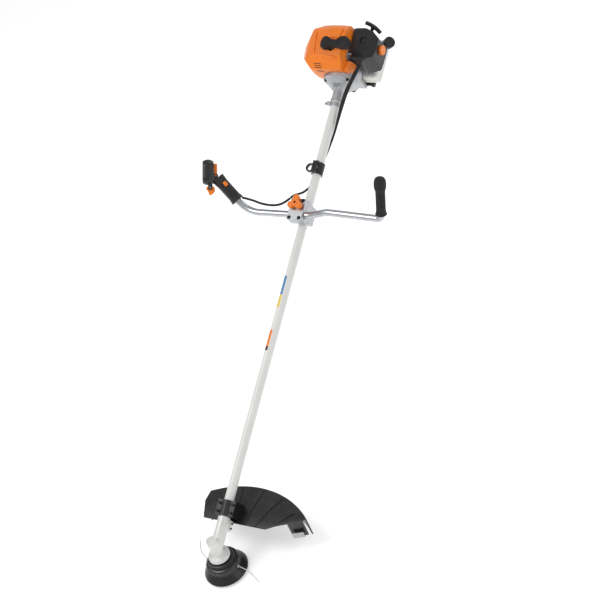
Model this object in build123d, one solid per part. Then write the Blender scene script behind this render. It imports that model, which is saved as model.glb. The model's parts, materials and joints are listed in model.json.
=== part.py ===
from build123d import *
import math
import os

# A petrol string trimmer: straight drive tube, two-stroke engine with a centrifugal clutch at the
# upper end, bevel gearbox and two-line head at the lower end, and a two-handed handlebar.
# Everything is laid out in the tube's own frame, in millimetres: x to the user's left, "up" away
# from the ground side of the tube, z along the tube towards the engine.  z = 0 is the harness eye.

# ---- driving dimensions -------------------------------------------------------------------
TUBE_DIAMETER = 28.0
TUBE_WALL = 1.5
TUBE_FRONT = -1132.0
TUBE_REAR = 282.0
HEAD_ANGLE = 65.0
GEAR_APEX_BELOW_TUBE = 53.0
CARRY_ANGLE = 65.0

PRESS_GAP = 0.05
RUN_GAP = 0.06
SEAT_GAP = 0.3
MOVE_GAP = 1.0

SHAFT_DIAMETER = 8.0
BUSHING_LENGTH = 22.0
BUSHING_PITCH = 280.0
BUSHING_COUNT = 5
FIRST_BUSHING = -1080.0

HEAD_RIM_RADIUS = 66.0
HEAD_DRUM_RADIUS = 49.0
HEAD_TOP_RADIUS = 40.0
HEAD_RIM_DROP = 90.0
LINE_DIAMETER = 2.7
BUMP_TRAVEL = 6.0

PINION_TEETH = 15
GEAR_TEETH = 21
CONE_LENGTH = 18.0
GEAR_FACE = 6.0
OUTPUT_RADIUS = 5.0

BAR_DIAMETER = 21.0
BAR_UP = 45.0
BAR_Z = -170.0
STUD_Z = -143.0
BRACKET_TOP = 24.0

ENGINE_BORE = 38.0
ENGINE_STROKE = 28.0
ROD_LENGTH = 48.0
CRANK_Z = 361.0
SHROUD_WALL = 2.5
COVER_WALL = 2.5
TANK_WALL = 2.5
CABLE_DIAMETER = 7.0

tube_radius = TUBE_DIAMETER / 2
tube_bore = tube_radius - TUBE_WALL
shaft_radius = SHAFT_DIAMETER / 2
bar_radius = BAR_DIAMETER / 2
cable_radius = CABLE_DIAMETER / 2
apex_z = TUBE_FRONT - GEAR_APEX_BELOW_TUBE
sin_head = math.sin(math.radians(HEAD_ANGLE))
cos_head = math.cos(math.radians(HEAD_ANGLE))

EYE_X = -29.0
EYE_Z = 5.0
EYE_BORE = 9.5
EYE_THICK = 8.0


def at(x, up, z):
    return Vector(x, -up, z)


def rod(radius, start, end):
    line = end - start
    base = Plane(origin=start, z_dir=line)
    return base * Cylinder(radius, line.length, align=(Align.CENTER, Align.CENTER, Align.MIN))


def pipe(outer, inner, start, end):
    return rod(outer, start, end) - rod(inner, start, end)


def taper(start_radius, end_radius, start, end):
    line = end - start
    base = Plane(origin=start, z_dir=line)
    return base * Cone(start_radius, end_radius, line.length,
                       align=(Align.CENTER, Align.CENTER, Align.MIN))


def along(radius, z_start, z_end, x=0.0, up=0.0):
    return rod(radius, at(x, up, z_start), at(x, up, z_end))


def ring(outer, inner, z_start, z_end, x=0.0, up=0.0):
    return along(outer, z_start, z_end, x, up) - along(inner, z_start, z_end, x, up)


def block(x0, x1, up0, up1, z0, z1):
    centre = at((x0 + x1) / 2, (up0 + up1) / 2, (z0 + z1) / 2)
    return Pos(*centre) * Box(x1 - x0, up1 - up0, z1 - z0)


def soft_block(x0, x1, up0, up1, z0, z1, radius):
    solid = block(x0, x1, up0, up1, z0, z1)
    return fillet(solid.edges(), radius)


# ---- the gear axis frame: x, rear, and height along the head's own axis ----------------------
HEAD = Plane(origin=(0, 0, apex_z), x_dir=(1, 0, 0), z_dir=(0, -sin_head, cos_head))


def on_head(radius, low, high, x=0.0, rear=0.0):
    return HEAD * Pos(x, rear, low) * Cylinder(
        radius, high - low, align=(Align.CENTER, Align.CENTER, Align.MIN))


def head_ring(outer, inner, low, high, x=0.0, rear=0.0):
    return on_head(outer, low, high, x, rear) - on_head(inner, low, high, x, rear)


def head_cone(low_radius, high_radius, low, high):
    return HEAD * Pos(0, 0, low) * Cone(
        low_radius, high_radius, high - low, align=(Align.CENTER, Align.CENTER, Align.MIN))


def head_point(x, rear, height):
    return at(x, height * sin_head - rear * cos_head, apex_z + height * cos_head + rear * sin_head)


# ---- drive tube ------------------------------------------------------------------------------
def shaft_tube():
    return ring(tube_radius, tube_bore, TUBE_FRONT, TUBE_REAR)


def shaft_bushings():
    rings = []
    for index in range(BUSHING_COUNT):
        start = FIRST_BUSHING + index * BUSHING_PITCH
        rings.append(ring(tube_bore - PRESS_GAP, shaft_radius + RUN_GAP, start, start + BUSHING_LENGTH))
    return rings


# ---- gearbox ---------------------------------------------------------------------------------
gear_angle = math.degrees(math.atan2(sin_head, PINION_TEETH / GEAR_TEETH + cos_head))
pinion_angle = HEAD_ANGLE - gear_angle
gear_radius = CONE_LENGTH * math.sin(math.radians(gear_angle))
pinion_radius = CONE_LENGTH * math.sin(math.radians(pinion_angle))
gear_back = CONE_LENGTH * math.cos(math.radians(gear_angle))
pinion_back = CONE_LENGTH * math.cos(math.radians(pinion_angle))
tooth_module = 2 * gear_radius / GEAR_TEETH
NECK_WALL = 4.0
NECK_LENGTH = 40.0
SMALL_BEARING_RADIUS = 11.0
SMALL_BEARING_WIDTH = 7.0
LARGE_BEARING_RADIUS = 13.0
LARGE_BEARING_WIDTH = 8.0
BOSS_WALL = 2.8
BOSS_TOP = 36.0
CAP_HEIGHT = 6.0
FLANGE_RADIUS = 32.0
FLANGE_LOW = -30.0
FLANGE_THICK = 7.0
pinion_hub_end = pinion_back + 8.0
small_bearing_starts = (pinion_hub_end + 1.0, pinion_hub_end + 1.0 + SMALL_BEARING_WIDTH + 2.0)
upper_bearing_start = BOSS_TOP - LARGE_BEARING_WIDTH - 2.0
lower_bearing_start = FLANGE_LOW + 8.0
gear_hub_end = upper_bearing_start - 1.0
neck_radius = tube_radius + NECK_WALL
boss_bore = LARGE_BEARING_RADIUS + PRESS_GAP
boss_radius = boss_bore + BOSS_WALL


def gearbox_housing():
    neck_top = TUBE_FRONT + NECK_LENGTH
    body = along(neck_radius, apex_z + 4, neck_top)
    body += on_head(boss_radius, FLANGE_LOW, BOSS_TOP)
    body += on_head(FLANGE_RADIUS, FLANGE_LOW, FLANGE_LOW + FLANGE_THICK)
    body += block(-16, 16, -neck_radius - 8, -neck_radius + 5, neck_top - 34, neck_top - 4)
    body += head_cone(FLANGE_RADIUS - 6, boss_radius, FLANGE_LOW + FLANGE_THICK,
                      FLANGE_LOW + FLANGE_THICK + 8)
    body -= block(-1, 1, -neck_radius - 20, -tube_radius + 2, neck_top - 37, neck_top + 1)
    body -= along(tube_radius + PRESS_GAP, TUBE_FRONT, neck_top + 1)
    body -= along(SMALL_BEARING_RADIUS + PRESS_GAP, apex_z + 6, TUBE_FRONT + 1)
    body -= on_head(boss_bore, FLANGE_LOW + 4, BOSS_TOP + 1)
    body -= on_head(OUTPUT_RADIUS + 4, FLANGE_LOW - 1, FLANGE_LOW + 5)
    for height in (neck_top - 12, neck_top - 26):
        body -= rod(SCREW_RADIUS + SEAT_GAP, at(-20, -neck_radius - 3, height),
                    at(20, -neck_radius - 3, height))
    return body


def gearbox_cap():
    plug = on_head(boss_bore - PRESS_GAP * 2, BOSS_TOP - 2, BOSS_TOP)
    return plug + on_head(boss_radius - 0.5, BOSS_TOP, BOSS_TOP + CAP_HEIGHT)


def ball_bearings():
    rings = []
    for start in small_bearing_starts:
        low = apex_z + start
        rings.append(ring(SMALL_BEARING_RADIUS, shaft_radius + RUN_GAP, low, low + SMALL_BEARING_WIDTH))
    for low in (lower_bearing_start, upper_bearing_start):
        rings.append(head_ring(LARGE_BEARING_RADIUS, OUTPUT_RADIUS + RUN_GAP, low, low + LARGE_BEARING_WIDTH))
    rings.append(ring(DRUM_BEARING_RADIUS, drum_hub_radius + RUN_GAP, drum_bearing_z,
                      drum_bearing_z + DRUM_BEARING_WIDTH))
    for low in (front_main_z, rear_main_z):
        rings.append(ring(MAIN_BEARING_RADIUS, crank_radius + RUN_GAP, low, low + MAIN_BEARING_WIDTH))
    return rings


def bevel_blank(pitch_angle, back):
    """Toothed cone with its apex at the origin, opening along +Z, and a hub behind it."""
    radians = math.radians(pitch_angle)
    inner = CONE_LENGTH - GEAR_FACE
    root = 1.05 * tooth_module
    big_radius = CONE_LENGTH * math.sin(radians) - root * math.cos(radians)
    small_radius = inner * math.sin(radians) - root * math.cos(radians)
    low = inner * math.cos(radians) + root * math.sin(radians) * inner / CONE_LENGTH
    high = back + root * math.sin(radians)
    blank = Pos(0, 0, low) * Cone(small_radius, big_radius, high - low,
                                  align=(Align.CENTER, Align.CENTER, Align.MIN))
    return blank


def bevel_tooth(pitch_angle):
    """One straight bevel tooth: a trapezium at the big end shrunk towards the apex."""
    radians = math.radians(pitch_angle)
    inner_share = (CONE_LENGTH - GEAR_FACE) / CONE_LENGTH
    top = 0.76 * tooth_module
    root = 1.35 * tooth_module
    top_half = 0.22 * tooth_module
    root_half = 0.82 * tooth_module
    centre = Vector(CONE_LENGTH * math.sin(radians), 0, CONE_LENGTH * math.cos(radians))
    outward = Vector(math.cos(radians), 0, -math.sin(radians))
    side = Vector(0, 1, 0)
    faces = []
    for share in (1.0, inner_share):
        corners = []
        for height, half in ((top, -top_half), (top, top_half), (-root, root_half), (-root, -root_half)):
            corners.append((centre + outward * height + side * half) * share)
        faces.append(make_face(Polyline(*corners, close=True)))
    return loft(faces, ruled=True)


def bevel_gear(pitch_angle, teeth, back, hub_radius, hub_end, bore, half_pitch):
    solid = bevel_blank(pitch_angle, back)
    turn = 360.0 / teeth
    for index in range(teeth):
        solid += Rot(0, 0, (index + half_pitch) * turn) * bevel_tooth(pitch_angle)
    hub_low = back
    solid += Pos(0, 0, hub_low) * Cylinder(hub_radius, hub_end - hub_low,
                                           align=(Align.CENTER, Align.CENTER, Align.MIN))
    return solid - Cylinder(bore, 4 * CONE_LENGTH)


def drive_pinion():
    turned = Rot(0, 0, -90) * bevel_gear(pinion_angle, PINION_TEETH, pinion_back, 6.0, pinion_hub_end,
                                         shaft_radius, 0.0)
    return Pos(0, 0, apex_z) * turned


def output_gear():
    turned = Rot(0, 0, 90) * bevel_gear(gear_angle, GEAR_TEETH, gear_back, 8.5, gear_hub_end,
                                        OUTPUT_RADIUS, 0.5)
    return HEAD * turned


def output_shaft():
    return on_head(OUTPUT_RADIUS, -HEAD_RIM_DROP + 24, upper_bearing_start + LARGE_BEARING_WIDTH)


# ---- trimmer head ----------------------------------------------------------------------------
head_top = FLANGE_LOW - 5.0
rim_low = -HEAD_RIM_DROP
SPOOL_RADIUS = 40.0
EYELET_HEIGHT = -66.0
KNOB_RADIUS = 33.0


def head_housing():
    body = on_head(HEAD_TOP_RADIUS, head_top - 13, head_top)
    body += on_head(HEAD_DRUM_RADIUS, rim_low + 8, head_top - 12)
    body += head_cone(HEAD_RIM_RADIUS, HEAD_DRUM_RADIUS, rim_low + 3, rim_low + 20)
    body += on_head(HEAD_RIM_RADIUS, rim_low, rim_low + 3)
    body -= on_head(SPOOL_RADIUS + 3, rim_low - 1, head_top - 15)
    body -= on_head(OUTPUT_RADIUS, rim_low - 1, head_top + 1)
    for side in (-1, 1):
        start = head_point(side * (SPOOL_RADIUS - 4), 0, EYELET_HEIGHT)
        end = head_point(side * (HEAD_RIM_RADIUS + 4), 0, EYELET_HEIGHT)
        body -= rod(LINE_DIAMETER / 2 + 2.0, start, end)
    return body


def spool():
    low = rim_low - BUMP_TRAVEL
    body = on_head(KNOB_RADIUS, low, rim_low + 9)
    body += on_head(SPOOL_RADIUS, rim_low + 9, rim_low + 11.5)
    body += on_head(20, rim_low + 11, head_top - 26)
    body += on_head(SPOOL_RADIUS, head_top - 28.5, head_top - 26)
    body = body - on_head(OUTPUT_RADIUS + 0.5, rim_low + 15, head_top)
    return body


def line_route(side):
    """Each line leaves its eyelet square to the head and droops slightly backwards."""
    x = HEAD_DRUM_RADIUS + 2.6
    if side > 0:
        spots = [(x, 0, 0), (x + 26, -4, -1), (x + 54, -15, -3), (x + 82, -32, -6)]
    else:
        spots = [(-x, 0, 0), (-x - 24, 9, 2), (-x - 44, 27, 5), (-x - 56, 51, 9)]
    return [head_point(px, rear, EYELET_HEIGHT + up) for px, rear, up in spots]


# ---- cords that are round bars along straight runs joined by tangent arcs --------------------
def cord(points, radius, name):
    radii = []
    for before, point, after in zip(points, points[1:], points[2:]):
        first = point - before
        second = after - point
        turn = math.radians(first.get_angle(second))
        radii.append(0.45 * min(first.length, second.length) / math.tan(turn / 2))
    path = FilletPolyline(*points, radius=radii)
    start = Plane(origin=points[0], z_dir=points[1] - points[0])
    solid = sweep(start * Circle(radius), path=path)
    ideal = math.pi * radius ** 2 * path.length
    print(name, "length", round(path.length, 1), "volume share", round(solid.volume / ideal, 4),
          "radii", [round(value) for value in radii])
    return solid


def cutting_line_a():
    return cord(line_route(1), LINE_DIAMETER / 2, "cutting_line_a")


def cutting_line_b():
    return cord(line_route(-1), LINE_DIAMETER / 2, "cutting_line_b")


# ---- shield ----------------------------------------------------------------------------------
DECK_HEIGHT = 21.0
DECK_THICK = 3.5
DECK_NEAR = 90.0
DECK_CREASE = 141.0
DECK_FAR = 216.0
DECK_DROP = 12.0
WALL_DROP = 66.0
WALL_THICK = 3.0
SHIELD_RIBS = 6
arc_x = 45.0
arc_rear = -5.0
ARC_RADIUS = 222.0


def shield_plan(shrink):
    """Outline from above: a straight near edge, angled ends and one large arc at the back."""
    left_end = Vector(-106 + shrink, 176 - shrink)
    right_end = Vector(238 - shrink, 142 - shrink)
    middle = Vector(arc_x, arc_rear + ARC_RADIUS - shrink)
    back = ThreePointArc(left_end, middle, right_end)
    front = Polyline(right_end, (206 - shrink, 126 + shrink), (153, 106 + shrink), (122, DECK_NEAR + shrink),
                     (-88 + shrink, DECK_NEAR + shrink), (-106 + shrink, 140), left_end)
    return make_face(Curve() + [back, front])


def deck_profile(lift, thick):
    crease = DECK_HEIGHT + lift
    near = crease - DECK_DROP
    points = [(DECK_NEAR - 10, near), (DECK_CREASE, crease), (DECK_FAR + 20, crease),
              (DECK_FAR + 20, crease - thick), (DECK_CREASE, crease - thick), (DECK_NEAR - 10, near - thick)]
    side = Plane(HEAD.origin, x_dir=HEAD.y_dir, z_dir=HEAD.x_dir)
    sheet = extrude(side * make_face(Polyline(*points, close=True)), 300, both=True)
    return sheet


def shield():
    prism = extrude(HEAD * shield_plan(0), 90, both=True)
    inner = extrude(HEAD * shield_plan(WALL_THICK), 90, both=True)
    body = prism & deck_profile(0, DECK_THICK)
    outer_wall = (prism - inner) & (HEAD * Pos(arc_x, 175, DECK_HEIGHT - 1.5 - WALL_DROP / 2) *
                                    Box(420, 110, WALL_DROP))
    keep_below = deck_profile(-DECK_THICK + 1, 150)
    body += outer_wall & keep_below
    for index in range(SHIELD_RIBS):
        angle = math.radians(142 - index * 19)
        centre = HEAD * Pos(arc_x, arc_rear, 0) * Rot(0, 0, math.degrees(angle))
        bar = centre * Pos(ARC_RADIUS - 66, 0, 0) * Box(120, 2.6, 120)
        body += bar & prism & deck_profile(2.2, 3.0)
    body -= along(tube_radius + 9, apex_z + 60, apex_z + 260)
    body += shield_seat()
    for x in (-SEAT_SCREW_X, SEAT_SCREW_X):
        for z in seat_screw_z:
            body -= rod(SCREW_RADIUS + SEAT_GAP, at(x, -60, z), at(x, 0, z))
    return body


SEAT_SCREW_X = 22.0
seat_z0 = TUBE_FRONT + NECK_LENGTH + 3.0
seat_z1 = seat_z0 + 46.0
seat_screw_z = (seat_z0 + 11.0, seat_z1 - 11.0)
SCREW_RADIUS = 2.5
SCREW_HEAD = 4.5


def shield_seat():
    """Cradle under the tube that ties the deck to the clamp."""
    cradle = block(-30, 30, -44, -1, seat_z0, seat_z1)
    return cradle - along(tube_radius + PRESS_GAP, seat_z0 - 1, seat_z1 + 1)


def shield_clamp():
    upper = block(-30, 30, 0.6, 10, seat_z0, seat_z1) + along(tube_radius + 4, seat_z0, seat_z1)
    upper -= block(-40, 40, -40, 0.6, seat_z0 - 1, seat_z1 + 1)
    upper -= along(tube_radius + PRESS_GAP, seat_z0 - 1, seat_z1 + 1)
    for x in (-SEAT_SCREW_X, SEAT_SCREW_X):
        for z in seat_screw_z:
            upper -= rod(SCREW_RADIUS + SEAT_GAP, at(x, -1, z), at(x, 20, z))
    return upper


def line_cutter():
    corner = HEAD * Pos(206, 118, DECK_HEIGHT - 52) * Rot(0, 0, 20)
    return corner * Box(34, 2, 22)


# ---- screws that hold the castings -----------------------------------------------------------
def screw(head_base, direction, length):
    axis = direction.normalized()
    shank = rod(SCREW_RADIUS, head_base - axis * length, head_base)
    head = rod(SCREW_HEAD, head_base, head_base + axis * 5.0)
    socket = rod(2.0, head_base + axis * 2.5, head_base + axis * 6.0)
    return shank + head - socket


def case_screws():
    screws = []
    neck_top = TUBE_FRONT + NECK_LENGTH
    for height in (neck_top - 12, neck_top - 26):
        screws.append(screw(at(-16, -neck_radius - 3, height), Vector(-1, 0, 0), 36.0))
    for x in (-SEAT_SCREW_X, SEAT_SCREW_X):
        for z in seat_screw_z:
            screws.append(screw(at(x, 10, z), at(0, 1, 0), 22.0))
    for angle in HOUSING_SCREW_ANGLES:
        x = HOUSING_SCREW_RADIUS * math.cos(math.radians(angle))
        up = HOUSING_SCREW_RADIUS * math.sin(math.radians(angle))
        screws.append(screw(at(x, up, housing_flange_z), Vector(0, 0, -1),
                            housing_rear - housing_flange_z + 6))
    screws.append(screw(at(-tube_radius - 9, tube_radius - 2, COLLAR_Z + 6), Vector(-1, 0, 0), 12.0))
    for z in (-CLAMP_HALF + 9, CLAMP_HALF - 9):
        screws.append(screw(at(9, tube_radius + 7, z), Vector(1, 0, 0), 16.0))
    screws.append(rod(STUD_RADIUS, at(0, tube_radius + 3, STUD_Z), at(0, BAR_UP + 32, STUD_Z)))
    return screws


# ---- clutch housing and drum -----------------------------------------------------------------
HOUSING_FRONT = 230.0
HOUSING_NECK_RADIUS = 17.8
HOUSING_RADIUS = 56.0
HOUSING_SCREW_RADIUS = 50.0
HOUSING_SCREW_ANGLES = (40, 152, 222, 296)
housing_flange_z = TUBE_REAR + 12.0
housing_rear = housing_flange_z + 34.0
housing_cone_z = TUBE_REAR - 20.0
DRUM_BEARING_RADIUS = 14.0
DRUM_BEARING_WIDTH = 8.0
drum_bearing_z = TUBE_REAR + 2.0
drum_hub_radius = 6.0
DRUM_RADIUS = 39.0
DRUM_WALL = 2.5
drum_plate_z = housing_flange_z + 4.0
drum_rear = drum_plate_z + 25.0
COLLAR_Z = 212.0


def clutch_housing():
    body = along(HOUSING_NECK_RADIUS, HOUSING_FRONT, housing_cone_z + 1)
    body += taper(HOUSING_NECK_RADIUS, HOUSING_RADIUS - 4, at(0, 0, housing_cone_z),
                  at(0, 0, housing_flange_z))
    body += along(HOUSING_RADIUS, housing_flange_z, housing_rear)
    for angle in HOUSING_SCREW_ANGLES:
        x = HOUSING_SCREW_RADIUS * math.cos(math.radians(angle))
        up = HOUSING_SCREW_RADIUS * math.sin(math.radians(angle))
        body += along(8, housing_flange_z - 1, housing_rear, x, up)
        body -= along(SCREW_HEAD + 1, housing_flange_z - 20, housing_flange_z, x, up)
    body += ring(HOUSING_NECK_RADIUS + 1.6, HOUSING_NECK_RADIUS - 1, HOUSING_FRONT, HOUSING_FRONT + 5)
    body -= along(tube_radius + PRESS_GAP, HOUSING_FRONT - 1, TUBE_REAR)
    body -= along(DRUM_BEARING_RADIUS + PRESS_GAP, TUBE_REAR - 1, housing_flange_z + 2)
    body -= along(DRUM_RADIUS + 3, housing_flange_z + 2, housing_rear + 1)
    for index in range(4):
        x = -5 + index * 6.4
        body -= block(x - 1.4, x + 1.4, 24, 60, housing_cone_z + 6, housing_cone_z + 17)
    for angle in HOUSING_SCREW_ANGLES:
        x = HOUSING_SCREW_RADIUS * math.cos(math.radians(angle))
        up = HOUSING_SCREW_RADIUS * math.sin(math.radians(angle))
        body -= along(SCREW_RADIUS + SEAT_GAP, housing_flange_z - 1, housing_rear + 1, x, up)
    return body


def collar_ring():
    body = ring(tube_radius + 3, tube_radius + PRESS_GAP, COLLAR_Z, COLLAR_Z + 12)
    body += block(-tube_radius - 9, -tube_radius + 5, tube_radius - 7, tube_radius + 3, COLLAR_Z,
                  COLLAR_Z + 12)
    body -= along(tube_radius + PRESS_GAP, COLLAR_Z - 1, COLLAR_Z + 13)
    start = at(-tube_radius - 20, tube_radius - 2, COLLAR_Z + 6)
    end = at(-tube_radius + 3, tube_radius - 2, COLLAR_Z + 6)
    return body - rod(SCREW_RADIUS + SEAT_GAP, start, end)


def drive_shaft():
    return along(shaft_radius, apex_z + pinion_back - 3, drum_bearing_z + 12)


def clutch_drum():
    body = ring(drum_hub_radius, shaft_radius, drum_bearing_z - 1, drum_plate_z + DRUM_WALL)
    body += ring(DRUM_RADIUS, shaft_radius, drum_plate_z, drum_plate_z + DRUM_WALL)
    return body + ring(DRUM_RADIUS, DRUM_RADIUS - DRUM_WALL, drum_plate_z, drum_rear)


# ---- engine ----------------------------------------------------------------------------------
crank_radius = 7.5
MAIN_BEARING_RADIUS = 17.5
MAIN_BEARING_WIDTH = 10.0
CASE_RADIUS = 42.0
CHAMBER_RADIUS = 33.0
CHAMBER_HALF = 22.0
CASE_WALL = 13.0
DECK_UP = 44.0
case_front = housing_rear
case_rear = CRANK_Z + CHAMBER_HALF + CASE_WALL
front_main_z = CRANK_Z - CHAMBER_HALF - MAIN_BEARING_WIDTH - 1
rear_main_z = CRANK_Z + CHAMBER_HALF + 1
SHOE_GAP = 1.2
CLUTCH_HUB_RADIUS = 13.0
clutch_z0 = drum_plate_z + DRUM_WALL + 3
clutch_z1 = drum_rear - 2
crank_front = clutch_z0 - 1
WEB_RADIUS = 31.0
WEB_THICK = 11.0
PIN_RADIUS = 7.0
bore_radius = ENGINE_BORE / 2
piston_radius = bore_radius - 0.1
crank_throw = ENGINE_STROKE / 2
wrist_up = crank_throw + ROD_LENGTH
piston_top = wrist_up + 13.0
head_up = piston_top + 14.0
SADDLE_UP = -90.0


def crankcase():
    body = along(CASE_RADIUS, case_front, case_rear)
    body += along(HOUSING_RADIUS, case_front, case_front + 7)
    body += block(-31, 31, 10, DECK_UP, CRANK_Z - 31, CRANK_Z + 31)
    body += block(-30, 30, -56, -20, case_front, case_rear)
    body += block(-40, 30, SADDLE_UP - 15, -30, case_front + 4, case_front + 15)
    body -= block(-32, 32, DECK_UP, DECK_UP + 30, case_front - 1, case_rear)
    body -= along(CHAMBER_RADIUS, CRANK_Z - CHAMBER_HALF, CRANK_Z + CHAMBER_HALF)
    body -= along(MAIN_BEARING_RADIUS + PRESS_GAP, front_main_z, rear_main_z + MAIN_BEARING_WIDTH)
    body -= along(crank_radius + 3, case_front - 1, case_rear + 1)
    body -= rod(bore_radius + 2, at(0, 0, CRANK_Z), at(0, DECK_UP + 1, CRANK_Z))
    for angle in HOUSING_SCREW_ANGLES:
        x = HOUSING_SCREW_RADIUS * math.cos(math.radians(angle))
        up = HOUSING_SCREW_RADIUS * math.sin(math.radians(angle))
        body -= along(SCREW_RADIUS + SEAT_GAP, case_front - 1, case_front + 7, x, up)
    return body


def cylinder():
    body = block(-31, 31, DECK_UP, DECK_UP + 6, CRANK_Z - 31, CRANK_Z + 31)
    body += rod(bore_radius + 5, at(0, DECK_UP, CRANK_Z), at(0, head_up - 2, CRANK_Z))
    for index in range(7):
        up = DECK_UP + 10 + index * 5.2
        body += block(-32, 32, up, up + 2, CRANK_Z - 30, CRANK_Z + 30)
    body += block(-36, -20, DECK_UP + 8, DECK_UP + 28, CRANK_Z - 14, CRANK_Z + 14)
    body += block(20, 36, DECK_UP + 2, DECK_UP + 26, CRANK_Z - 13, CRANK_Z + 13)
    body -= rod(bore_radius, at(0, DECK_UP - 1, CRANK_Z), at(0, piston_top + 4, CRANK_Z))
    body -= rod(6.6, at(-40, DECK_UP + 18, CRANK_Z), at(-10, DECK_UP + 18, CRANK_Z))
    body -= rod(6.6, at(40, DECK_UP + 14, CRANK_Z), at(10, DECK_UP + 14, CRANK_Z))
    return body - rod(7 + PRESS_GAP, at(0, piston_top, CRANK_Z), at(0, head_up + 1, CRANK_Z))


def piston():
    body = rod(piston_radius, at(0, wrist_up - 12, CRANK_Z), at(0, piston_top, CRANK_Z))
    body -= rod(piston_radius - 4, at(0, wrist_up - 13, CRANK_Z), at(0, piston_top - 4, CRANK_Z))
    body += rod(4.5, at(-piston_radius + 2, wrist_up, CRANK_Z), at(piston_radius - 2, wrist_up, CRANK_Z))
    return body & rod(piston_radius, at(0, wrist_up - 12, CRANK_Z), at(0, piston_top, CRANK_Z))


def connecting_rod():
    width = 7.0
    body = rod(11.5, at(0, crank_throw, CRANK_Z - width), at(0, crank_throw, CRANK_Z + width))
    body += rod(8, at(-5, wrist_up, CRANK_Z), at(5, wrist_up, CRANK_Z)) & block(-5, 5, 0, 90, 0, 500)
    body += block(-3.5, 3.5, crank_throw + 6, wrist_up - 5, CRANK_Z - 5, CRANK_Z + 5)
    body -= rod(4.5 + RUN_GAP, at(-9, wrist_up, CRANK_Z), at(9, wrist_up, CRANK_Z))
    return body


def crankshaft():
    webs = []
    for z in (CRANK_Z - 8 - WEB_THICK, CRANK_Z + 8):
        webs.append(along(WEB_RADIUS, z, z + WEB_THICK))
    front = along(crank_radius, crank_front, CRANK_Z - 8) + webs[0]
    rear = along(crank_radius, CRANK_Z + 8, fan_z1) + webs[1]
    return [front, rear]


def clutch_hub():
    body = ring(CLUTCH_HUB_RADIUS, crank_radius, clutch_z0, clutch_z1)
    for side in (-1, 1):
        centre = side * (CLUTCH_HUB_RADIUS + 4)
        body += block(centre - 7, centre + 7, -5, 5, clutch_z0 + 2, clutch_z1 - 2)
    return body - along(crank_radius, clutch_z0 - 1, clutch_z1 + 1)


def clutch_shoe_a():
    return clutch_shoe(1)


def clutch_shoe_b():
    return clutch_shoe(-1)


def clutch_shoe(side):
    """Crescent with a slot that rides on the hub's arm."""
    outer = DRUM_RADIUS - DRUM_WALL - SHOE_GAP
    body = ring(outer, CLUTCH_HUB_RADIUS + MOVE_GAP, clutch_z0, clutch_z1)
    body &= block(2 if side > 0 else -60, 60 if side > 0 else -2, -60, 60, clutch_z0 - 1, clutch_z1 + 1)
    slot = side * (CLUTCH_HUB_RADIUS + 4)
    return body - block(slot - 9.5, slot + 9.5, -5.4, 5.4, clutch_z0 - 1, clutch_z1 + 1)


fan_z0 = case_rear + 4.0
fan_z1 = fan_z0 + 28.0
FAN_RADIUS = 48.0
FAN_BLADES = 14


def flywheel():
    body = ring(34, crank_radius, fan_z0, fan_z1 - 8) + ring(FAN_RADIUS, crank_radius, fan_z0, fan_z0 + 4)
    for index in range(FAN_BLADES):
        blade = Rot(0, 0, index * 360 / FAN_BLADES) * Pos(40.5, 0, (fan_z0 + fan_z1) / 2 - 2)
        body += blade * Box(14, 2, fan_z1 - fan_z0 - 4)
    return body


def spark_plug():
    body = rod(7, at(0, head_up - 10, CRANK_Z), at(0, head_up, CRANK_Z))
    hexagon = Plane(origin=at(0, head_up + 3.5, CRANK_Z), z_dir=at(0, 1, 0)) * RegularPolygon(10, 6)
    body += extrude(hexagon, 3.5, both=True)
    body += rod(5, at(0, head_up + 7, CRANK_Z), at(0, head_up + 19, CRANK_Z))
    return body + rod(2.5, at(0, head_up + 19, CRANK_Z), at(0, head_up + 22, CRANK_Z))


BOOT_CENTRE_X = 12.0
BOOT_HALF = 54.0


def plug_boot():
    base = shroud_top + SEAT_GAP
    z0 = CRANK_Z - 2
    body = soft_block(BOOT_CENTRE_X - BOOT_HALF, BOOT_CENTRE_X + BOOT_HALF, base, base + 13, z0, z0 + 34, 5.5)
    for side in (-1, 1):
        x = BOOT_CENTRE_X + side * (BOOT_HALF - 20)
        body += soft_block(x - 18, x + 18, base + 3, base + 21, z0 - 3, z0 + 37, 7)
    body += rod(11, at(0, head_up + 8, CRANK_Z), at(0, base + 4, CRANK_Z))
    return body - rod(5.2, at(0, head_up + 7, CRANK_Z), at(0, head_up + 23, CRANK_Z))


def ignition_coil():
    body = block(-24, 24, FAN_RADIUS + 3, FAN_RADIUS + 19, fan_z0 + 4, fan_z0 + 16)
    for x in (-20, 20):
        up = math.sqrt((FAN_RADIUS + 1.5) ** 2 - x ** 2)
        body += block(x - 4, x + 4, up, FAN_RADIUS + 5, fan_z0 + 4, fan_z0 + 16)
    return body + block(-18, 18, FAN_RADIUS + 4, FAN_RADIUS + 18, fan_z0 - 5, fan_z0 + 20)


def muffler():
    body = soft_block(-98, -44, 14, 84, CRANK_Z - 22, CRANK_Z + 34, 6)
    body -= soft_block(-96, -46, 16, 82, CRANK_Z - 20, CRANK_Z + 32, 5)
    body += block(-45, -36 - SEAT_GAP, DECK_UP + 9, DECK_UP + 27, CRANK_Z - 13, CRANK_Z + 13)
    body -= rod(6.6, at(-50, DECK_UP + 18, CRANK_Z), at(-30, DECK_UP + 18, CRANK_Z))
    return body - rod(5, at(-74, 34, CRANK_Z - 30), at(-74, 34, CRANK_Z - 10))


# ---- engine shroud: three outlines crossed, so every edge is a facet ----------------------------
shroud_top = 108.0
SHROUD_LEFT = -124.0
SHROUD_RIGHT = 36.0
SHROUD_LOW = -6.0
SHOULDER_RIGHT = 58.0
SHOULDER_TOP = 62.0
cover_front = 338.0
shroud_front = housing_flange_z + 9.0
shroud_rear = 457.0


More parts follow.
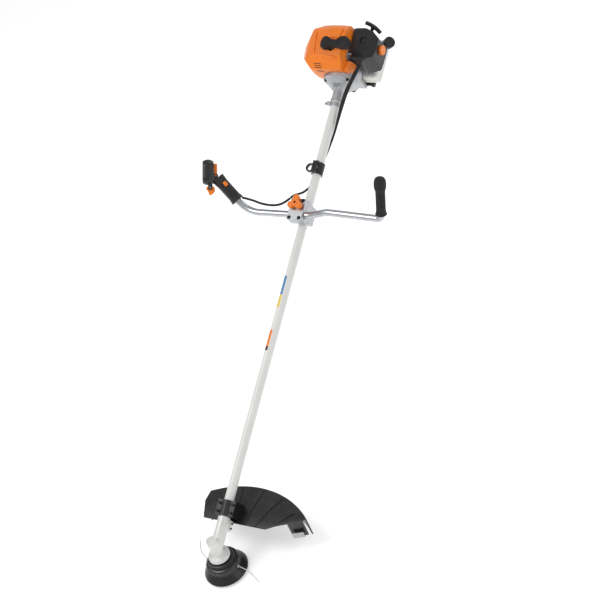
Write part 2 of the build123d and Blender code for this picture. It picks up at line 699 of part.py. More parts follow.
def crossed_outlines(plan, front, side):
    """plan is (x, z), front is (x, up), side is (z, up); the body is what all three share."""
    plan_face = Plane.XZ * make_face(Polyline(*plan, close=True))
    plan_body = extrude(plan_face, 400, both=True)
    front_face = Plane.XY * make_face(Polyline(*[(x, -up) for x, up in front], close=True))
    front_body = extrude(front_face, 800, both=True)
    side_plane = Plane(origin=(0, 0, 0), x_dir=(0, 0, 1), z_dir=(1, 0, 0))
    side_face = side_plane * make_face(Polyline(*[(z, up) for z, up in side], close=True))
    side_body = extrude(side_face, 400, both=True)
    return plan_body & front_body & side_body


def shroud_solid(wall):
    left = SHROUD_LEFT + wall
    top = shroud_top - wall
    front = shroud_front + wall
    rear = shroud_rear - wall
    right = SHROUD_RIGHT - wall
    low = SHROUD_LOW - (20 if wall else 0)
    plan = [(right, front), (-82, front), (left + 7, front + 36), (left, 392), (left + 28, 438),
            (-66, rear), (right, rear)]
    outline = [(right, low), (-88, low), (left + 5, 18), (left, 62), (-98, top - 14), (-62, top),
               (right, top)]
    profile = [(front, low), (front, top - 32), (front + 30, top - 4), (392, top), (434, top - 6),
               (rear, top - 28), (rear, low)]
    return crossed_outlines(plan, outline, profile)


def shroud_shoulder(wall):
    """Low flare in front of the intake cover."""
    right = SHOULDER_RIGHT - wall
    top = SHOULDER_TOP - wall
    front = shroud_front + wall
    rear = cover_front - 2 + wall
    left = SHROUD_RIGHT - SHROUD_WALL - wall
    low = SHROUD_LOW - 4 * wall
    plan = [(left, front), (right - 8, front), (right, front + 9), (right, rear), (left, rear)]
    outline = [(left, low), (right, low), (right, top - 16), (right - 10, top), (left, top)]
    profile = [(front, low), (front, top - 10), (front + 10, top), (rear, top), (rear, low)]
    return crossed_outlines(plan, outline, profile)


def engine_shroud():
    body = shroud_solid(0) - shroud_solid(SHROUD_WALL)
    body += shroud_shoulder(0) - shroud_shoulder(SHROUD_WALL)
    body -= block(SHROUD_RIGHT - 4, SHROUD_RIGHT + 1, SHROUD_LOW - 1, SHOULDER_TOP - 4, shroud_front + 4,
                  shroud_rear + 1)
    body -= block(SHROUD_RIGHT - 4, SHROUD_RIGHT + 1, DECK_UP, DECK_UP + 28, CRANK_Z - 15, CRANK_Z + 15)
    body -= along(HOUSING_RADIUS + 2.5, shroud_front - 10, shroud_front + 40)
    for angle in HOUSING_SCREW_ANGLES:
        x = HOUSING_SCREW_RADIUS * math.cos(math.radians(angle))
        up = HOUSING_SCREW_RADIUS * math.sin(math.radians(angle))
        body -= along(11, shroud_front - 10, shroud_front + 6, x, up)
    body -= along(STARTER_RADIUS + 1, case_rear, shroud_rear + 5)
    body -= rod(12.5, at(0, 80, CRANK_Z), at(0, 120, CRANK_Z))
    for index in range(3):
        up = 30 + index * 9
        body -= block(-140, -100, up, up + 4, 345, 380)
    return body


STARTER_RADIUS = 54.0
STARTER_WALL = 2.5
starter_front = case_rear + 1.0
PULLEY_RADIUS = 27.0
pulley_z0 = fan_z1 + 5
pulley_z1 = pulley_z0 + 12
starter_rear = pulley_z1 + 20.0
PULL = Vector(0.6, -0.35, 0.72).normalized()
guide = at(64, 16.5, starter_rear - 1)


def starter_housing():
    body = along(STARTER_RADIUS, starter_front, starter_rear - 10)
    body += taper(STARTER_RADIUS, STARTER_RADIUS - 12, at(0, 0, starter_rear - 10), at(0, 0, starter_rear))
    body += rod(8, guide - PULL * 26, guide)
    body -= along(STARTER_RADIUS - STARTER_WALL, starter_front - 1, starter_rear - 12)
    body -= along(STARTER_RADIUS - 14, starter_rear - 13, starter_rear - STARTER_WALL)
    body += along(5, pulley_z0 - 2, starter_rear - STARTER_WALL + 1)
    for index in range(12):
        turned = Rot(0, 0, index * 30) * Pos(30, 0, starter_rear - 3)
        body -= turned * Box(16, 4.5, 20)
    body -= rod(3, guide - PULL * 40, guide + PULL)
    body -= block(-27, 27, 40, 70, starter_front - 1, fan_z0 + 23)
    return body


def starter_pulley():
    body = along(PULLEY_RADIUS, pulley_z0, pulley_z1)
    body -= ring(PULLEY_RADIUS + 1, PULLEY_RADIUS - 6, pulley_z0 + 3, pulley_z1 - 3)
    return body - along(5 + RUN_GAP, pulley_z0 - 1, pulley_z1 + 1)


def grip_frame():
    bar_way = at(0.605, -0.785, -0.12)
    flat = bar_way - PULL * bar_way.dot(PULL)
    return Plane(origin=guide + PULL * 17.0, x_dir=flat.normalized(), z_dir=PULL)


def starter_grip():
    frame = grip_frame()
    bar = Box(60, 15, 13)
    bar = fillet(bar.edges(), 6)
    stem = Pos(0, 0, -8.5) * Cone(5, 8, 10)
    return frame * (bar + stem - Pos(0, 0, -11) * Cylinder(2.2, 12))


def starter_rope():
    return rod(1.9, guide - PULL * 10, guide + PULL * 8)


# ---- intake side -------------------------------------------------------------------------------
COVER_LEFT = 38.0
COVER_RIGHT = 121.0
CARB_UP = 58.0
CARB_BORE = 7.5
VALVE_X = 59.0


def cover_solid(wall):
    left = COVER_LEFT - (10 if wall else 0)
    right = COVER_RIGHT - wall
    high = 66.0 - wall
    low = -30.0 + wall
    front = cover_front + wall
    rear = 456.0 - wall
    plan = [(left, front + 16), (66, front + 3), (84, front), (right - 4, front + 18), (right, front + 40),
            (right, rear - 34), (right - 18, rear - 16), (66, rear), (left, rear)]
    outline = [(left, low), (right - 16, low), (right, low + 14), (right, high - 16), (right - 12, high - 4),
               (left, high)]
    profile = [(front, low + 16), (front + 4, high - 8), (front + 14, high), (rear - 8, high),
               (rear, high - 8), (rear, low), (front + 22, low)]
    return crossed_outlines(plan, outline, profile)


def filter_cover():
    body = cover_solid(0) - cover_solid(COVER_WALL)
    body -= along(STARTER_RADIUS + 1.5, starter_front - 1, 470)
    body -= rod(10, guide - PULL * 30, guide + PULL * 4)
    body -= rod(9.5, at(30, CARB_UP - 1, CRANK_Z), at(50, CARB_UP - 1, CRANK_Z))
    body -= block(66, 88, 52, 80, 398, 420)
    knob_line = (at(COVER_RIGHT - 10, 22, 398), at(COVER_RIGHT + 5, 22, 398))
    body -= rod(5, *knob_line)
    return body


def carburettor():
    middle = CARB_UP - 1
    body = rod(9, at(36 + SEAT_GAP, middle, CRANK_Z), at(48, middle, CRANK_Z))
    body += block(47, 70, middle - 16, middle + 3.8, CRANK_Z - 5, CRANK_Z + 17)
    body += block(69, 73, -10, middle - 4, CRANK_Z - 6, CRANK_Z + 60)
    body -= rod(6, at(30, middle, CRANK_Z), at(50, middle, CRANK_Z))
    return body - rod(CARB_BORE, at(46, middle - 5, CRANK_Z + 6), at(80, middle - 5, CRANK_Z + 6))


def throttle_valve():
    centre_up = CARB_UP - 6
    reach = CARB_BORE - 0.3
    pin = along(1.5, CRANK_Z + 6 - reach + 0.2, CRANK_Z + 6 + reach - 0.2, VALVE_X, centre_up)
    plate = rod(reach, at(VALVE_X - 0.5, centre_up, CRANK_Z + 6), at(VALVE_X + 0.5, centre_up, CRANK_Z + 6))
    return pin + plate


def air_filter():
    body = block(73 + SEAT_GAP, 99, -12, 46, 362, 420)
    return fillet(body.edges().filter_by(Axis.X), 8)


def choke_lever():
    body = rod(6, at(77, 54, 407), at(77, 62, 407))
    return body + block(74.5, 79.5, 58, 62, 407, 416)


def cover_knob():
    body = rod(15, at(COVER_RIGHT + 0.5, 22, 398), at(COVER_RIGHT + 9, 22, 398))
    return body + rod(4.6, at(COVER_RIGHT - 14, 22, 398), at(COVER_RIGHT + 1, 22, 398))


# ---- fuel tank ---------------------------------------------------------------------------------
TANK_TOP = -57.0
TANK_LOW = -104.0
TANK_HALF = 80.0
tank_front = 348.0
tank_rear = 482.0
NECK_WAY = Vector(0.75, -0.66, 0).normalized()
neck_start = at(73, -73, 464)


def fuel_tank():
    shape = soft_block(-TANK_HALF, TANK_HALF, TANK_LOW, TANK_TOP, tank_front, tank_rear, 11)
    hollow = soft_block(-TANK_HALF + TANK_WALL, TANK_HALF - TANK_WALL, TANK_LOW + TANK_WALL,
                        TANK_TOP - TANK_WALL, tank_front + TANK_WALL, tank_rear - TANK_WALL, 9)
    body = shape + rod(14, neck_start, neck_start + NECK_WAY * 34) - hollow
    return body - rod(11, neck_start - NECK_WAY * 2, neck_start + NECK_WAY * 36)


def fuel_cap():
    body = rod(18, neck_start + NECK_WAY * 27, neck_start + NECK_WAY * 43)
    return body - rod(14.4, neck_start + NECK_WAY * 26, neck_start + NECK_WAY * 36)


def tank_stand():
    body = block(-52, 52, TANK_LOW - 6.3, TANK_LOW - SEAT_GAP, case_front + 15, tank_rear - 6)
    body += block(-44, 44, TANK_LOW - 6.3, TANK_LOW + 4, case_front + 15, case_front + 20)
    for x in (-46, 46):
        body += block(x - 6, x + 6, TANK_LOW - 14, TANK_LOW - 6, case_front + 15, tank_rear - 10)
    return body


# ---- harness clamp -----------------------------------------------------------------------------
CLAMP_HALF = 19.0


def harness_clamp():
    lug_top = tube_radius + 13
    screw_up = tube_radius + 7
    body = along(tube_radius + 4, -CLAMP_HALF, CLAMP_HALF)
    body += block(-9, 9, tube_radius - 2, lug_top, -CLAMP_HALF, CLAMP_HALF)
    body += block(EYE_X, -tube_radius + 2, -EYE_THICK / 2, EYE_THICK / 2, EYE_Z - 12, EYE_Z + 12)
    body += rod(EYE_BORE + 5, at(EYE_X, -EYE_THICK / 2, EYE_Z), at(EYE_X, EYE_THICK / 2, EYE_Z))
    body -= block(-1, 1, 5, lug_top + 5, -CLAMP_HALF - 1, CLAMP_HALF + 1)
    body -= along(tube_radius + PRESS_GAP, -CLAMP_HALF - 1, CLAMP_HALF + 1)
    for z in (-CLAMP_HALF + 9, CLAMP_HALF - 9):
        body -= rod(SCREW_RADIUS + SEAT_GAP, at(-12, screw_up, z), at(12, screw_up, z))
    return body - rod(EYE_BORE, at(EYE_X, -EYE_THICK, EYE_Z), at(EYE_X, EYE_THICK, EYE_Z))


# ---- handlebar and its clamp -------------------------------------------------------------------
STUD_RADIUS = 4.0
saddle_low = BRACKET_TOP + SEAT_GAP


def bar_bracket():
    body = block(-21, 21, -20, BRACKET_TOP, BAR_Z - 10, STUD_Z + 18)
    body -= along(tube_radius + PRESS_GAP, BAR_Z - 30, STUD_Z + 30)
    return body - rod(STUD_RADIUS + PRESS_GAP, at(0, 0, STUD_Z), at(0, BAR_UP, STUD_Z))


def bar_carrier():
    body = block(-26, 26, saddle_low, BAR_UP - 0.4, BAR_Z - 21, STUD_Z + 19)
    body -= rod(STUD_RADIUS + RUN_GAP, at(0, 0, STUD_Z), at(0, 100, STUD_Z))
    body -= rod(bar_radius + RUN_GAP, at(-30, BAR_UP, BAR_Z), at(30, BAR_UP, BAR_Z))
    return body


def bar_cap():
    body = block(-26, 26, BAR_UP + 0.4, BAR_UP + 17, BAR_Z - 21, STUD_Z + 19)
    body -= rod(STUD_RADIUS + RUN_GAP, at(0, 0, STUD_Z), at(0, 100, STUD_Z))
    return body - rod(bar_radius + RUN_GAP, at(-30, BAR_UP, BAR_Z), at(30, BAR_UP, BAR_Z))


def clamp_knob():
    low = BAR_UP + 17 + SEAT_GAP
    body = rod(10, at(0, low, STUD_Z), at(0, low + 20, STUD_Z))
    for index in range(3):
        angle = math.radians(90 + 120 * index)
        x = 15 * math.cos(angle)
        z = STUD_Z + 15 * math.sin(angle)
        body += rod(10.5, at(x, low + 6, z), at(x, low + 20, z))
    return body - rod(STUD_RADIUS + RUN_GAP, at(0, low - 1, STUD_Z), at(0, BAR_UP + 32.5, STUD_Z))


HANDLE_WAY = at(-0.635, 0.569, 0.523).normalized()
handle_corner = at(-178, BAR_UP, BAR_Z)
GRIP_WAY = at(0.151, 0.773, 0.617).normalized()
grip_corner = at(294, 65, -174)
BAR_END = 128.0
BAR_TIP = 126.0


def handlebar():
    spots = [handle_corner + HANDLE_WAY * BAR_END, handle_corner, at(44, BAR_UP, BAR_Z), at(108, 65, -164),
             grip_corner, grip_corner + GRIP_WAY * BAR_TIP]
    path = FilletPolyline(*spots, radius=[90, 70, 70, 16])
    start = Plane(origin=spots[0], z_dir=spots[1] - spots[0])
    return sweep(start * Circle(bar_radius), path=path) - sweep(start * Circle(bar_radius - 2), path=path)


def hand_grip():
    start = grip_corner + GRIP_WAY * 15
    end = grip_corner + GRIP_WAY * (BAR_TIP + 10)
    body = rod(14, start, end)
    body += taper(17, 14, start, start + GRIP_WAY * 16)
    body += rod(17.3, end - GRIP_WAY * 34, end - GRIP_WAY * 8)
    body += taper(14, 17.3, end - GRIP_WAY * 44, end - GRIP_WAY * 34)
    body += taper(17.3, 12, end - GRIP_WAY * 8, end)
    return body - rod(bar_radius + PRESS_GAP, start - GRIP_WAY, grip_corner + GRIP_WAY * (BAR_TIP + 0.2))


handle_start = handle_corner + HANDLE_WAY * 46
HANDLE_GRIP_LENGTH = 98.0
handle_end = handle_start + HANDLE_WAY * HANDLE_GRIP_LENGTH
hoop_side = Vector(0.8555, 0.454, 0.2484).normalized()
hoop_centre = handle_start + HANDLE_WAY * 116 - hoop_side * 13
HOOP_WIDTH = 32.0
HOOP_HEIGHT = 78.0
HOOP_DEPTH = 56.0
HOOP_BAND = 5.0
TRIGGER_PIVOT_X = -HOOP_HEIGHT / 2 - 9
TRIGGER_PIVOT_Z = 7.0
TRIGGER_Y = 4.0
TRIGGER_WIDTH = 16.0
LOCKOUT_PIVOT_X = -11.0
LOCKOUT_PIVOT_Z = 24.0
LOCKOUT_WIDTH = 18.0
PIVOT_RADIUS = 2.5
EAR_THICK = 3.6


def hoop_frame():
    tall = Vector(-0.0862, -0.348, 0.9334)
    tall = (tall - hoop_side * tall.dot(hoop_side)).normalized()
    return Plane(origin=hoop_centre, x_dir=tall, z_dir=hoop_side)


def control_handle():
    frame = hoop_frame()
    outer = RectangleRounded(HOOP_HEIGHT, HOOP_DEPTH, 22)
    inner = RectangleRounded(HOOP_HEIGHT - 2 * HOOP_BAND, HOOP_DEPTH - 2 * HOOP_BAND, 17.5)
    hoop = extrude(frame * outer, HOOP_WIDTH / 2, both=True)
    hole = extrude(frame * inner, HOOP_WIDTH / 2 + 1, both=True)
    body = rod(18.5, handle_start, handle_end - HANDLE_WAY * 6)
    body += taper(21, 18.5, handle_start, handle_start + HANDLE_WAY * 16)
    body += taper(18.5, 21, handle_end - HANDLE_WAY * 30, handle_end - HANDLE_WAY * 6)
    body = (body - extrude(frame * outer, HOOP_WIDTH / 2, both=True)) + (hoop - hole)
    for side in (-1, 1):
        y = TRIGGER_Y + side * (TRIGGER_WIDTH / 2 + EAR_THICK / 2 + MOVE_GAP + SEAT_GAP)
        body += frame * Pos(TRIGGER_PIVOT_X + 4, y, TRIGGER_PIVOT_Z) * Box(20, EAR_THICK, 12)
        y = side * (LOCKOUT_WIDTH / 2 + EAR_THICK / 2 + MOVE_GAP)
        body += frame * Pos(LOCKOUT_PIVOT_X - 4, y, LOCKOUT_PIVOT_Z) * Box(18, EAR_THICK, 12)
    body -= cross_pin(TRIGGER_PIVOT_X, TRIGGER_Y, TRIGGER_PIVOT_Z, PIVOT_RADIUS + RUN_GAP, 60)
    body -= cross_pin(LOCKOUT_PIVOT_X, 0, LOCKOUT_PIVOT_Z, PIVOT_RADIUS + RUN_GAP, 60)
    body -= switch_frame() * Pos(0, 0, 4.6) * Box(15.6, 10.6, 20)
    return body - rod(bar_radius + PRESS_GAP, handle_start - HANDLE_WAY,
                      handle_corner + HANDLE_WAY * (BAR_END + 0.2))


def cross_pin(x, y, z, radius, length):
    """Bar along the hoop's depth, which both hand levers turn on."""
    return hoop_frame() * Pos(x, y, z) * Rot(90, 0, 0) * Cylinder(radius, length)


def throttle_trigger():
    """Blade hung from a round barrel, with the pin that it turns on."""
    blade = Pos(TRIGGER_PIVOT_X - 11.5, TRIGGER_Y, TRIGGER_PIVOT_Z) * Box(23, TRIGGER_WIDTH, 30)
    body = hoop_frame() * blade + cross_pin(TRIGGER_PIVOT_X, TRIGGER_Y, TRIGGER_PIVOT_Z, 8, TRIGGER_WIDTH)
    pin_length = TRIGGER_WIDTH + 2 * (EAR_THICK + MOVE_GAP + SEAT_GAP)
    return body + cross_pin(TRIGGER_PIVOT_X, TRIGGER_Y, TRIGGER_PIVOT_Z, PIVOT_RADIUS, pin_length)


def lockout_lever():
    paddle = Pos(LOCKOUT_PIVOT_X + 16.5, 0, LOCKOUT_PIVOT_Z - 1.5) * Box(41, LOCKOUT_WIDTH, 10)
    pin_length = LOCKOUT_WIDTH + 2 * (EAR_THICK + MOVE_GAP)
    return hoop_frame() * paddle + cross_pin(LOCKOUT_PIVOT_X, 0, LOCKOUT_PIVOT_Z, PIVOT_RADIUS, pin_length)


def switch_frame():
    outward = at(0.45, 0.75, 0.1)
    outward = (outward - HANDLE_WAY * outward.dot(HANDLE_WAY)).normalized()
    return Plane(origin=handle_start + HANDLE_WAY * 62 + outward * 18.5, x_dir=HANDLE_WAY, z_dir=outward)


def stop_switch():
    return switch_frame() * Pos(0, 0, 0.5) * Box(15, 10, 6)


# ---- throttle cable, in the two lengths that meet at the handlebar clamp ---------------------
cable_side = at(0.65, 0.03, 0.76)
cable_side = (cable_side - HANDLE_WAY * cable_side.dot(HANDLE_WAY)).normalized()


def cable_front():
    spots = [handle_start - HANDLE_WAY * 2.5 + cable_side * 16, at(-168, 61, -136),
             at(-124, 62, -149), at(-79, 62, -152), at(-48, 62, -143), at(-32, 60, -124)]
    return cord(spots, cable_radius, "cable_front")


def cable_rear():
    spots = [at(-31, 58.4, -121.1), at(-31, 46, -107), at(-30, 24, -94), at(-27, 0, -76), at(-20, -18, -46),
             at(-11, -27, -8), at(-7, -28, 36), at(2, -24, 82), at(15, -12, 126), at(24, 3, 168),
             at(33, 17, 210), at(44, 31, 250), at(63, 45, 292), at(76, 46, 337.5)]
    return cord(spots, cable_radius, "cable_rear")


# ---- everything, moved into the carrying position ----------------------------------------------
# The head's axis stands upright and the origin is the centre of the harness eye.
CARRIED = Location((0, 0, 0), (-CARRY_ANGLE, 0, 0)) * Pos(-EYE_X, 0, -EYE_Z)

PIECES = (
    shaft_tube, shaft_bushings, gearbox_housing, gearbox_cap, ball_bearings, drive_pinion, output_gear,
    output_shaft, head_housing, spool, cutting_line_a, cutting_line_b, shield, shield_clamp,
    line_cutter, case_screws, clutch_housing, collar_ring, drive_shaft, clutch_drum, crankcase,
    cylinder, piston, connecting_rod, crankshaft, clutch_hub, clutch_shoe_a, clutch_shoe_b, flywheel,
    spark_plug, plug_boot, ignition_coil, muffler, engine_shroud, starter_housing, starter_pulley,
    starter_grip, starter_rope, filter_cover, carburettor, throttle_valve, air_filter, choke_lever,
    cover_knob, fuel_tank, fuel_cap, tank_stand, harness_clamp, bar_bracket, bar_carrier, bar_cap,
    clamp_knob, handlebar, hand_grip, control_handle, throttle_trigger, lockout_lever, stop_switch,
    cable_front, cable_rear)


def main():
    os.makedirs("parts", exist_ok=True)
    for piece in PIECES:
        shape = piece()
        if isinstance(shape, list):
            shape = Compound(children=shape)
        export_step(CARRIED * shape, "parts/" + piece.__name__ + ".step")


main()
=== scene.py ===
import json
import math

import bmesh
import bpy
from mathutils import Matrix, Vector


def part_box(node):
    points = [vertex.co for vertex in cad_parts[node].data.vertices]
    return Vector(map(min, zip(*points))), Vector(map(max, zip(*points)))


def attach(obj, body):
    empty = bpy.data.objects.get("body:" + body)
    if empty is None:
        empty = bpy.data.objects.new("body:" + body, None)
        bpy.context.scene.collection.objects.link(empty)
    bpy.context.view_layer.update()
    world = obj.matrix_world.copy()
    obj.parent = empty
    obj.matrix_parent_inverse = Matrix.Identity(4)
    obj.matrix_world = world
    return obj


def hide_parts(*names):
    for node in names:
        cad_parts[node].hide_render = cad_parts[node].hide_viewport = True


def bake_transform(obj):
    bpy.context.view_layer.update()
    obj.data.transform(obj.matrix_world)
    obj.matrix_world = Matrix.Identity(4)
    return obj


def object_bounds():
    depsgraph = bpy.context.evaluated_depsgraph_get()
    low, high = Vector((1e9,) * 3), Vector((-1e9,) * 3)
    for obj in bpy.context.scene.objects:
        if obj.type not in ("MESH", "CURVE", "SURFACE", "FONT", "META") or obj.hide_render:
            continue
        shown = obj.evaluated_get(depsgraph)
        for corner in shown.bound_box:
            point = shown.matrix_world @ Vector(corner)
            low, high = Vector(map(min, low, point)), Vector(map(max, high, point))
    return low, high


# A petrol string trimmer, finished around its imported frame. Pieces are modelled in millimetres in
# the drive tube's own axes (x to the user's left, y towards the ground side, z along the tube
# towards the engine) or in the head's axes, and are then set down in the frame in metres.

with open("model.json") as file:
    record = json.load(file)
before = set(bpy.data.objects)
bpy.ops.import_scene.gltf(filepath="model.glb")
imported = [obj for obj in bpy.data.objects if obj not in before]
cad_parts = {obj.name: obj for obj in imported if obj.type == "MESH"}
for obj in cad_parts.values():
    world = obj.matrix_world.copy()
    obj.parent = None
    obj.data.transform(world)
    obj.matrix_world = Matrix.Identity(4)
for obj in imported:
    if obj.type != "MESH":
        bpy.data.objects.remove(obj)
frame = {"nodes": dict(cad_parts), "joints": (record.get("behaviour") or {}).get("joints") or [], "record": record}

bl_info = {
    "name": "String trimmer",
    "version": (1, 0, 0),
    "blender": (4, 5, 0),
    "location": "3D View > Sidebar > Trimmer",
    "description": "Builds the finish and the moulded parts of a string trimmer around its frame",
    "category": "Object",
}

CAD_BOX = [list(corner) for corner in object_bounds()]
NODES = frame["nodes"]
BODY_OF = {node: body for body, members in frame["record"]["behaviour"]["bodies"].items() for node in members}
SLOT_OF = {part["node"]: part["material_slot"] for part in frame["record"]["subparts"]}
JOINTS = {joint["name"]: joint for joint in frame["joints"]}
MM = 0.001


# ---- frames ------------------------------------------------------------------------------------
def axes_matrix(origin, x_way, y_way, z_way, scale=MM):
    columns = Matrix((x_way, y_way, z_way)).transposed().to_4x4()
    return Matrix.Translation(origin) @ columns @ Matrix.Scale(scale, 4)


tube_way = Vector(JOINTS["crank_spin"]["axis"]).normalized()
up_way = Vector(JOINTS["bar_swivel"]["axis"]).normalized()
left_way = Vector((1.0, 0.0, 0.0))
swivel_point = Vector(JOINTS["bar_swivel"]["pos_m"])
head_point = Vector(JOINTS["head_spin"]["pos_m"])
STUD_Z = -143.0
STUD_SEAT_UP = 62.3
TUBE = axes_matrix(swivel_point - tube_way * STUD_Z * MM, left_way, -up_way, tube_way)
HEAD = axes_matrix(head_point, left_way, Vector((0.0, 1.0, 0.0)), Vector((0.0, 0.0, 1.0)))


def at(x, up, z):
    return Vector((x, -up, z))


# ---- what a user can change --------------------------------------------------------------------
def colour(name, description, rgb):
    return bpy.props.FloatVectorProperty(name=name, description=description, subtype="COLOR", size=3,
                                         min=0.0, max=1.0, default=rgb)


class TrimmerColours(bpy.types.PropertyGroup):
    shell: colour("Engine shell", "Moulded plastic over the cylinder and on the controls",
                  (0.92, 0.22, 0.012))
    enamel: colour("Tube enamel", "Paint on the drive tube", (0.80, 0.795, 0.765))
    black: colour("Black plastic", "Guard, head, intake cover and handle", (0.011, 0.011, 0.012))
    rubber: colour("Rubber", "Grip, sleeves and boot", (0.013, 0.013, 0.013))
    casting: colour("Casting", "Die-cast housings", (0.50, 0.51, 0.525))
    pale_casting: colour("Pale casting", "Painted gearbox casting", (0.78, 0.775, 0.755))
    steel: colour("Steel", "Shafts, gears and screws", (0.42, 0.42, 0.43))
    anodised: colour("Handlebar", "Anodised handlebar tube", (0.52, 0.53, 0.55))
    tank: colour("Tank", "Translucent fuel tank", (0.80, 0.815, 0.80))
    band_blue: colour("First band", "First painted band on the tube", (0.10, 0.26, 0.50))
    band_yellow: colour("Second band", "Second painted band on the tube", (0.86, 0.64, 0.10))
    dust: colour("Dust", "Dry dust lying on the surfaces", (0.42, 0.39, 0.34))


class TrimmerSizes(bpy.types.PropertyGroup):
    edge_round: bpy.props.FloatProperty(
        name="Moulded edge", description="Rounding of moulded plastic edges", default=1.1 * MM,
        min=0.2 * MM, max=2.0 * MM, unit="LENGTH")
    casting_round: bpy.props.FloatProperty(
        name="Cast edge", description="Rounding of cast metal edges", default=0.8 * MM,
        min=0.2 * MM, max=2.0 * MM, unit="LENGTH")
    cable_width: bpy.props.FloatProperty(
        name="Cable width", description="Outer diameter of the throttle cable sleeve", default=7.0 * MM,
        min=4.0 * MM, max=9.0 * MM, unit="LENGTH")
    line_width: bpy.props.FloatProperty(
        name="Line width", description="Diameter of the cutting line", default=2.7 * MM,
        min=1.6 * MM, max=3.5 * MM, unit="LENGTH")
    floor_size: bpy.props.FloatProperty(
        name="Floor", description="Side of the pale floor", default=30.0, min=5.0, max=80.0, unit="LENGTH")
    lens: bpy.props.FloatProperty(
        name="Lens", description="Focal length of the camera in millimetres", default=85.6,
        min=20.0, max=200.0)


def colours():
    return bpy.context.scene.trimmer_colours


def sizes():
    return bpy.context.scene.trimmer_sizes


# ---- shader node groups ------------------------------------------------------------------------
def new_group(name, inputs, outputs):
    tree = bpy.data.node_groups.new(name, "ShaderNodeTree")
    for label, kind, default in inputs:
        socket = tree.interface.new_socket(name=label, in_out="INPUT", socket_type="NodeSocket" + kind)
        if default is not None:
            socket.default_value = default
    for label, kind in outputs:
        tree.interface.new_socket(name=label, in_out="OUTPUT", socket_type="NodeSocket" + kind)
    return tree, tree.nodes.new("NodeGroupInput"), tree.nodes.new("NodeGroupOutput")


def add(tree, kind, **settings):
    node = tree.nodes.new("ShaderNode" + kind)
    for key, value in settings.items():
        setattr(node, key, value)
    return node


def feed(tree, node, **values):
    """Sets or links a node's inputs by name, with underscores for the blanks in it."""
    for key, value in values.items():
        socket = node.inputs[key.replace("_", " ")]
        if isinstance(value, bpy.types.NodeSocket):
            tree.links.new(value, socket)
        else:
            socket.default_value = value
    return node


def maths(tree, operation, first, second=0.0, clamp=False):
    node = add(tree, "Math", operation=operation, use_clamp=clamp)
    for socket, value in zip(node.inputs, (first, second)):
        if isinstance(value, bpy.types.NodeSocket):
            tree.links.new(value, socket)
        else:
            socket.default_value = value
    return node.outputs[0]


def remap(tree, value, low, high, to_low=0.0, to_high=1.0):
    node = feed(tree, add(tree, "MapRange", clamp=True), Value=value, From_Min=low, From_Max=high,
                To_Min=to_low, To_Max=to_high)
    return node.outputs["Result"]


def mixed(tree, share, first, second, blend="MIX"):
    node = add(tree, "Mix", data_type="RGBA", blend_type=blend, clamp_factor=True)
    for index, value in ((0, share), (6, first), (7, second)):
        if isinstance(value, bpy.types.NodeSocket):
            tree.links.new(value, node.inputs[index])
        else:
            node.inputs[index].default_value = value
    return node.outputs[2]


def noise(tree, vector, scale, detail=3.0, roughness=0.5):
    node = feed(tree, add(tree, "TexNoise"), Vector=vector, Scale=scale, Detail=detail,
                Roughness=roughness)
    return node.outputs["Fac"]


def make_grain_group():
    """Fine moulded or cast grain, with broad waviness under it."""
    tree, entry, result = new_group(
        "Surface grain",
        [("Vector", "Vector", None), ("Scale", "Float", 900.0), ("Fine", "Float", 0.5),
         ("Broad", "Float", 0.3), ("Roughness", "Float", 0.5), ("Spread", "Float", 0.15)],
        [("Height", "Float"), ("Roughness", "Float")])
    vector = entry.outputs["Vector"]
    scale = entry.outputs["Scale"]
    fine = noise(tree, vector, scale, 4.0, 0.6)
    cells = feed(tree, add(tree, "TexVoronoi"), Vector=vector, Scale=maths(tree, "MULTIPLY", scale, 1.4))
    broad = noise(tree, vector, maths(tree, "MULTIPLY", scale, 0.02), 2.0)
    patch = noise(tree, vector, maths(tree, "MULTIPLY", scale, 0.05), 5.0, 0.65)
    grit = maths(tree, "MULTIPLY", maths(tree, "ADD", fine, cells.outputs["Distance"]), entry.outputs["Fine"])
    height = maths(tree, "ADD", grit, maths(tree, "MULTIPLY", broad, entry.outputs["Broad"]))
    tree.links.new(height, result.inputs["Height"])
    swing = maths(tree, "MULTIPLY", maths(tree, "SUBTRACT", patch, 0.5), entry.outputs["Spread"])
    swing = maths(tree, "MULTIPLY", swing, 2.0)
    tree.links.new(maths(tree, "ADD", entry.outputs["Roughness"], swing, clamp=True),
                   result.inputs["Roughness"])
    return tree


def make_edge_group():
    """Where an outer edge is rubbed: 1 on a worn edge and 0 on flat faces."""
    tree, entry, result = new_group(
        "Edge wear",
        [("Vector", "Vector", None), ("Reach", "Float", 1.2 * MM), ("Amount", "Float", 0.5)],
        [("Mask", "Float")])
    rounded = feed(tree, add(tree, "Bevel", samples=4), Radius=entry.outputs["Reach"])
    facing = add(tree, "NewGeometry")
    dot = add(tree, "VectorMath", operation="DOT_PRODUCT")
    tree.links.new(rounded.outputs["Normal"], dot.inputs[0])
    tree.links.new(facing.outputs["Normal"], dot.inputs[1])
    edge = remap(tree, dot.outputs["Value"], 0.995, 0.86)
    broken = remap(tree, noise(tree, entry.outputs["Vector"], 260.0, 5.0, 0.7), 0.38, 0.68)
    mask = maths(tree, "MULTIPLY", maths(tree, "MULTIPLY", edge, broken), entry.outputs["Amount"], clamp=True)
    tree.links.new(mask, result.inputs["Mask"])
    return tree


